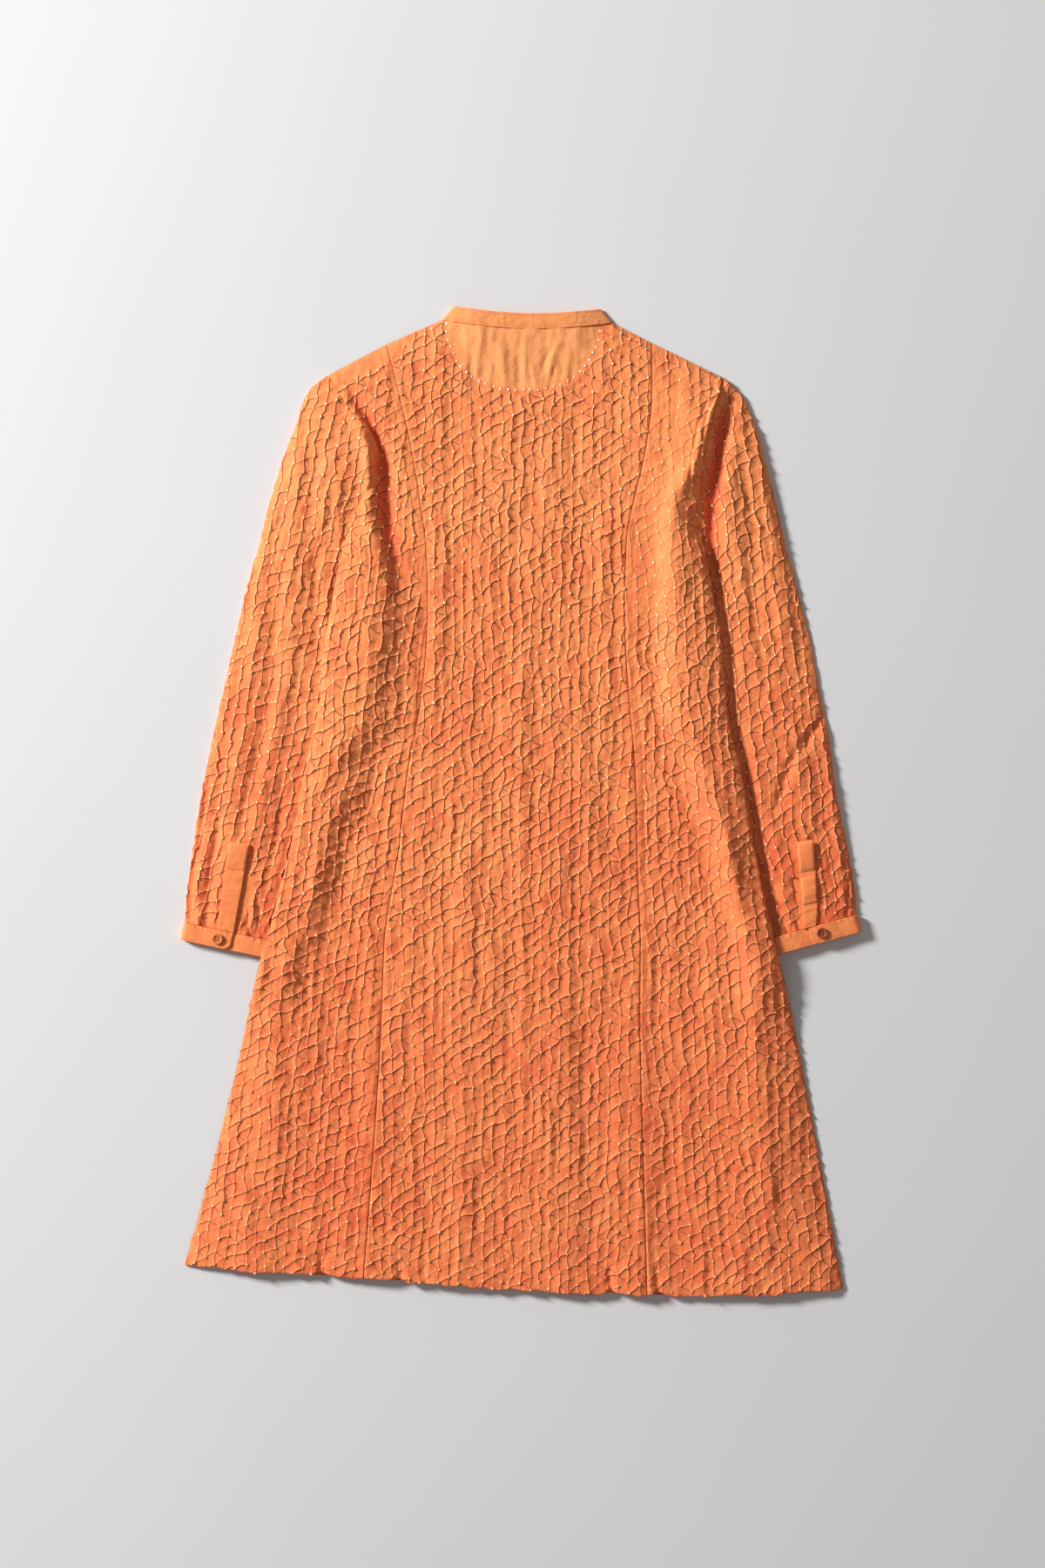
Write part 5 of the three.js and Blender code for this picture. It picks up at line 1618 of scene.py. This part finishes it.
for side in ("left", "right"):
    band = strip_on_sleeve(f"sleeve_placket_{side}_cloth", side, BAND_FROM, BAND_ACROSS[side], BAND_SUNK,
                           BAND_THICKNESS, BAND_PUFFS[side])
    stands_for(band, f"sleeve_placket_{side}", "plain_cloth")
for side in ("left", "right"):
    underlap = strip_on_sleeve(f"sleeve_underlap_{side}_cloth", side, UNDERLAP_FROM, UNDERLAP_ACROSS,
                               UNDERLAP_SUNK[side], UNDERLAP_THICKNESS)
    stands_for(underlap, f"sleeve_underlap_{side}", "plain_cloth")

# The cuffs: one plain strip round each wrist, lapped over its own end on the upper side
# Folded cotton, about as thick as the tied cloth, with a rounded end on the overlap, gathers of
# the sleeve pressed into its upper edge and a row of stitches along both edges.
CUFF_HEIGHT = 18.0
CUFF_WALL = 1.8
OVERLAP_END = 0.56
UNDERLAP_END = 0.34
LAP_EASE = 0.14
CUFF_CORNER = 8.0
CUFF_END = 0.9
CUFF_STEPS = 23
EDGE_BENDS = 5
CUFF_RUN = 300
CUFF_FOLD_STEPS = 25
CUFF_INSET = 0.05
CUFF_LEAST_END = 0.02
CUFF_SMOOTHING = 6
CUFF_PUCKERS = {"height": 0.6, "reach": 5.5, "size": 2.6}
CUFF_WAVES = {"height": 0.22, "size": 9.0}
CUFF_ROWS = (2.2, CUFF_HEIGHT - 1.8)
CUFF_GROOVE = {"depth": 0.3, "width": 0.5}


def cuff_line(width):
    """The cuff's section, a line of (across, height): under the lap, round both folds as half circles,
    and over it, with its corners smoothed by averages of neighbours. Also how far along it each
    point is."""
    radius = (SLEEVE_HEIGHT - CUFF_WALL) / 2
    top = CUFF_WALL / 2 + 2 * radius
    step = (CUFF_WALL + SEAM_GAP) / 2
    ease = LAP_EASE * width
    turn = np.linspace(0, np.pi, CUFF_FOLD_STEPS)
    level = top - radius + radius * np.cos(turn)
    inner_fold = np.stack([width - radius + radius * np.sin(turn), level], -1)
    outer_fold = np.stack([radius - radius * np.sin(turn), level], -1)[::-1]
    over, under = OVERLAP_END * width, UNDERLAP_END * width
    corners = np.concatenate([
        [[under, top - step], [over, top - step], [over + ease, top]],
        inner_fold, outer_fold,
        [[under - ease, top], [under - WALL, top + step], [over, top + step]]])
    run = np.r_[0, np.cumsum(np.linalg.norm(np.diff(corners, axis=0), axis=1))]
    even = np.linspace(0, run[-1], CUFF_RUN)
    line = np.stack([np.interp(even, run, corners[:, k]) for k in (0, 1)], -1)
    for _ in range(CUFF_SMOOTHING):
        line[1:-1] = (line[:-2] + 2 * line[1:-1] + line[2:]) / 4
    return line, even


def line_normals(line):
    """Unit normals of a plane line: its direction, turned by a quarter."""
    tangent = np.gradient(line, axis=0)
    tangent /= np.linalg.norm(tangent, axis=1, keepdims=True)
    return np.stack([-tangent[:, 1], tangent[:, 0]], -1)


def cuff_frame(side):
    """The outer end of the cuff seam in model millimetres, the way across and the way to the hand."""
    last = SLEEVE_ROWS[side][-1]
    outer = np.array([last[0], LENGTH / 2 - last[1]])
    inner = np.array([last[2], LENGTH / 2 - last[3]])
    width = np.linalg.norm(inner - outer)
    across = (inner - outer) / width
    hand = np.array([across[1], -across[0]]) * INWARD[side]
    return outer, across, hand, width


def flat_oval(steps, bends):
    """A band's section as shares: up its outside from 0 to 1, round the edge as a half circle, and
    down its inside. Gives the share up, how far past it the edge bulges, and 1 outside to -1 inside."""
    rise = np.linspace(0, 1, steps)
    bend = np.linspace(np.pi / 2, -np.pi / 2, bends + 2)[1:-1]
    flat = 0 * rise
    along = np.concatenate([rise, 1 + 0 * bend, rise[::-1], 0 * bend])
    bulge = np.concatenate([flat, np.cos(bend), flat, -np.cos(bend)])
    outward = np.concatenate([1 + flat, np.sin(bend), flat - 1, np.sin(bend[::-1])])
    return along, bulge, outward


def cuff_cloth(side):
    """A flat oval section from the sleeve to the hand, carried along the cuff's own line, with a
    rounded corner on the overlap: less of the height by the radius minus a quarter circle."""
    outer, across, hand, width = cuff_frame(side)
    line, run = cuff_line(width)
    edge = CUFF_WALL / 2 - CUFF_INSET
    along, bulge, out = flat_oval(CUFF_STEPS, EDGE_BENDS)
    from_end = run[-1] - run
    in_corner = CUFF_CORNER - np.minimum(from_end, CUFF_CORNER)
    corner = CUFF_CORNER - np.sqrt(CUFF_CORNER ** 2 - in_corner ** 2)
    reach = CUFF_HEIGHT - 2 * edge - corner
    down = SEAM_GAP + edge + along * reach[:, None] + bulge * edge
    to_end = np.minimum(np.minimum(run, from_end), CUFF_END) / CUFF_END
    ends = np.sqrt(np.clip(1 - (1 - to_end) ** 2, CUFF_LEAST_END, 1))
    outside = np.clip(out * edge, 0, None)
    places = run[:, None] + 0 * down
    pucker = CUFF_PUCKERS["height"] * soft_noise(places, down * 0.25, CUFF_PUCKERS["size"], 51)
    wave = CUFF_WAVES["height"] * soft_noise(places, down, CUFF_WAVES["size"], 52)
    offset = out * edge * ends[:, None]
    offset = offset + outside * (pucker * np.exp(-(down / CUFF_PUCKERS["reach"]) ** 2) + wave)
    for row in CUFF_ROWS:
        offset = offset - outside * line_bell(down - row, CUFF_GROOVE)
    section = line[:, None] + line_normals(line)[:, None] * offset[..., None]
    flat = outer + section[..., 0:1] * across + down[..., None] * hand
    points = np.concatenate([flat, np.maximum(section[..., 1:], CUFF_INSET)], -1)
    rows, columns = points.shape[:2]
    mirror = 2 * CUFF_STEPS + EDGE_BENDS - 1
    faces = [grid_faces(rows, columns, closed=True), cap_faces(rows, columns, mirror)]
    faces = [part[:, ::INWARD[side]] for part in faces]
    return new_piece(f"cuff_{side}_cloth", points, faces, CUFF_PLAIN)


CUFFS = {side: cuff_cloth(side) for side in ("left", "right")}

# The collar: one plain band that stands round the neck, pressed flat by the laid dress
# Folded cotton, sewn to the neckline, with its back half lying over its front half.
COLLAR_HEIGHT = 13.0
COLLAR_TAPER = 11.0
COLLAR_DIP = -1.5
COLLAR_WALL = 1.7


COLLAR_COUNT = 420
COLLAR_STEPS = 16
COLLAR_EDGE = 0.05
COLLAR_ROWS = (0.12, 0.88)
COLLAR_GROOVE = {"depth": 0.35, "width": 0.05}
COLLAR_TURN = 0.25
COLLAR_UNDER = {"middle": 1.0, "half": 0.42}
COLLAR_RIPPLES = [
    # height, squeeze along the band's rise, size, layer of noise
    (0.4, 0.4, 8.0, 61),
    (0.2, 1.0, 3.2, 62),
]


def collar_point(turn, rise, outward):
    """Model points at an angle round the neck, a share up the band and -1 inside to 1 outside. The
    band follows the neckline, tapers towards its top, and lies low at the front and on the back at
    the back, eased between them by a sine."""
    share = np.cos(turn)
    upper = 0.5 + 0.5 * np.sin(np.pi / 2 * np.clip(np.sin(turn) / COLLAR_TURN, -1, 1))
    seam = neck_point(share, NECK["back_dip"])
    closed = np.minimum.reduce([distance_to_line(seam, line) for line in CLOSED_LINES])
    level = back_under(np.zeros_like(share), seam, closed) + WALL / 2
    end = 1 - abs(2 * upper - 1)
    inward = COLLAR_TAPER * rise + end * COLLAR_WALL * (1 - outward) / 2
    x = mix(seam[..., 0], NECK["centre_x"], inward / NECK["half_width"])
    dip = mix(NECK["front_dip"], NECK["back_dip"], upper) + COLLAR_DIP * rise
    down = neck_point(share, 0)[..., 1] + dip * (1 - share ** 2) - SEAM_GAP - COLLAR_HEIGHT * rise
    front = COLLAR_UNDER["middle"] - COLLAR_UNDER["half"] * COLLAR_WALL * outward
    height = mix(front, level + 0.5 * COLLAR_WALL * outward, upper)
    return to_model(np.stack([x, down], -1), height)


def collar_cloth():
    """The band's flat oval section, carried round the neck, with soft noise for its ripples and a
    groove at each row of stitches."""
    turn = np.linspace(0, 2 * np.pi, COLLAR_COUNT, endpoint=False)[None]
    along, bulge, outward = (part[:, None] for part in flat_oval(COLLAR_STEPS, EDGE_BENDS))
    rise = along + COLLAR_EDGE * bulge
    points = collar_point(turn, rise, outward)
    x, y = points[..., 0], points[..., 1]
    outside = np.clip(outward, 0, 1) * np.clip(np.sin(turn) * 3, 0, 1)
    ripple = sum(height * soft_noise(x, y * squeeze, size, layer)
                 for height, squeeze, size, layer in COLLAR_RIPPLES)
    groove = sum(line_bell(rise - row, COLLAR_GROOVE) for row in COLLAR_ROWS)
    points[..., 2] += outside * (ripple - groove)
    faces = grid_faces(len(rise), COLLAR_COUNT, closed=True, ring=True)[:, ::-1]
    return new_piece("collar_cloth", points, faces, PLAIN)


COLLAR = collar_cloth()

# The stitches: rows of thread along the edges of the cuffs and the collar
# Each stitch is a small flattened loaf of thread, a little lighter than the cloth.
STITCH_PITCH = 2.7
STITCH_LENGTH = 2.0
STITCH_WIDTH = 0.42
STITCH_ENDS = 0.02
STITCH_SUNK = {"cuff": 0.12, "collar": 0.05}
CUFF_ROW_START = 70
CUFF_ROW_STOPS = (-6, -14)
COLLAR_ROW_START = 0.16
THREAD = flat_material("orange thread", (0.85, 0.33, 0.13), 0.6)


def stitch_rows(name, lines):
    """Stitches along lines of (points, normals), all one mesh: each stitch is a closed tube whose
    radius is the square root of 1 - t² along its length."""
    t = np.array([-1, -0.75, 0, 0.75, 1])
    turn = np.arange(6) * np.pi / 3
    radius = STITCH_WIDTH / 2 * np.sqrt(np.clip(1 - t ** 2, STITCH_ENDS, 1))
    points = []
    for line, normals in lines:
        run = np.r_[0, np.cumsum(np.linalg.norm(np.diff(line, axis=0), axis=1))]
        places = np.arange(STITCH_PITCH, run[-1] - STITCH_PITCH, STITCH_PITCH)

        def along_line(values, where):
            """The values at lengths along the line, in proportion between its points."""
            return np.stack([np.interp(where, run, values[:, k]) for k in range(3)], -1)
        middle = along_line(line, places)
        ahead = along_line(line, places + 0.5) - middle
        ahead /= np.linalg.norm(ahead, axis=1, keepdims=True)
        normal = along_line(normals, places)
        aside = np.cross(normal, ahead)
        points.append(
            middle[:, None, None] + ahead[:, None, None] * (t * STITCH_LENGTH / 2)[None, :, None, None]
            + aside[:, None, None] * (radius[:, None] * np.cos(turn))[None, ..., None]
            + normal[:, None, None] * (radius[:, None] * np.sin(turn))[None, ..., None])
    points = np.concatenate(points)
    points[..., 2] = np.maximum(points[..., 2], 0)
    each = len(t) * len(turn)
    faces = grid_faces(len(t), len(turn), closed=True)
    faces = (faces[None] + (np.arange(len(points)) * each)[:, None, None]).reshape(-1, 4)
    return new_piece(name, points, faces, THREAD)


def cuff_stitches(side):
    """Rows of stitches along both edges of the cuff, just sunk into its outside."""
    outer, across, hand, width = cuff_frame(side)
    line, _ = cuff_line(width)
    normal = line_normals(line)
    section = line + normal * (CUFF_WALL / 2 - STITCH_SUNK["cuff"])
    rows = []
    for down, stop in zip(CUFF_ROWS, CUFF_ROW_STOPS):
        points = np.concatenate([outer + section[:, :1] * across + down * hand, section[:, 1:]], -1)
        normals = np.concatenate([normal[:, :1] * across, normal[:, 1:]], -1)
        rows.append((points[CUFF_ROW_START:stop], normals[CUFF_ROW_START:stop]))
    return stitch_rows(f"cuff_{side}_stitches", rows)


def collar_stitches():
    """Rows of stitches along both edges of the collar, on the back half that shows."""
    turn = np.linspace(COLLAR_ROW_START, np.pi - COLLAR_ROW_START, 300)
    rows = []
    for rise in COLLAR_ROWS:
        points = collar_point(turn, rise, 1.0)
        points[:, 2] -= STITCH_SUNK["collar"]
        rows.append((points, np.tile([0, 0, 1.0], (len(turn), 1))))
    return stitch_rows("collar_stitches", rows)


for side in ("left", "right"):
    stitches = cuff_stitches(side)
    stands_for(CUFFS[side], f"cuff_{side}", "plain_cloth", stitches)
COLLAR_STITCHES = collar_stitches()
stands_for(COLLAR, "collar", "plain_cloth", COLLAR_STITCHES)

# The buttons: one on each cuff's overlap, a dished disc with a rim and four holes
# The left one is dyed like the cloth, and the right one is red-brown.
BUTTON_RADIUS = 5.5
BUTTON_THICKNESS = 2.4
BUTTON_RIM = 1.2
BUTTON_EDGE = 0.6
BUTTON_DISH = 0.75
BUTTON_DISH_EASE = (0.9, 0.7)
BUTTON_HOLE = 0.85
BUTTON_HOLE_DEPTH = 1.35
BUTTON_HOLE_EASE = (0.2, 0.3)
BUTTON_HOLE_SPACING = 2.8
BUTTON_COLUMNS = 96
BUTTON_RINGS = {"top": 40, "edge": 7, "under": 8}
BUTTON_PLACES = {"left": (0.4, 0.5), "right": (0.43, 0.47)}
BUTTON_MATERIALS = {
    "light_button": flat_material("button dyed like the cloth", (0.72, 0.21, 0.07), 0.4),
    "dark_button": flat_material("red-brown button", (0.36, 0.075, 0.03), 0.32),
}


def button(side, material):
    """Rings from the middle of the top over the rim, down the side and back under to the middle. The
    top is dished inside the rim, and sinks in four round holes, with eased edges."""
    outer, across, hand, width = cuff_frame(side)
    share, down = BUTTON_PLACES[side]
    centre = outer + across * share * width + hand * (SEAM_GAP + down * CUFF_HEIGHT)
    base = SLEEVE_HEIGHT + (CUFF_WALL + SEAM_GAP) / 2 + SEAM_GAP
    flat_radius, flat_level = BUTTON_RADIUS - BUTTON_EDGE, BUTTON_THICKNESS - BUTTON_EDGE
    top_radius = np.linspace(0, flat_radius, BUTTON_RINGS["top"])
    in_rim = (top_radius - BUTTON_RADIUS + BUTTON_RIM + BUTTON_DISH_EASE[0]) / BUTTON_DISH_EASE[1]
    top = BUTTON_THICKNESS - BUTTON_DISH * (1 - smooth(in_rim))
    bend = np.linspace(0, np.pi / 2, BUTTON_RINGS["edge"])[1:]
    side_radius = flat_radius + BUTTON_EDGE * np.sin(bend)
    side_level = flat_level + BUTTON_EDGE * np.cos(bend)
    under = np.linspace(flat_radius, 0, BUTTON_RINGS["under"])
    radius = np.concatenate([top_radius, side_radius, side_radius[::-1], under])
    level = np.concatenate([top, side_level, BUTTON_THICKNESS - side_level[::-1], 0 * under])
    turn = np.linspace(0, 2 * np.pi, BUTTON_COLUMNS, endpoint=False)
    x, y = radius[:, None] * np.cos(turn), radius[:, None] * np.sin(turn)
    z = level[:, None] + 0 * x
    on_top = np.arange(len(radius))[:, None] < len(top_radius)
    for sign_x, sign_y in ((-1, -1), (-1, 1), (1, -1), (1, 1)):
        away = np.hypot(x - sign_x * BUTTON_HOLE_SPACING / 2, y - sign_y * BUTTON_HOLE_SPACING / 2)
        outside = smooth((away - BUTTON_HOLE + BUTTON_HOLE_EASE[0]) / BUTTON_HOLE_EASE[1])
        z = z - on_top * BUTTON_HOLE_DEPTH * (1 - outside)
    points = np.stack([centre[0] + x, centre[1] + y, base + z], -1)
    faces = grid_faces(len(radius), BUTTON_COLUMNS, closed=True)[:, ::-1]
    return new_piece(f"button_{side}_disc", points, faces, material)


for side, slot in (("left", "light_button"), ("right", "dark_button")):
    stands_for(button(side, BUTTON_MATERIALS[slot]), f"button_{side}", slot)
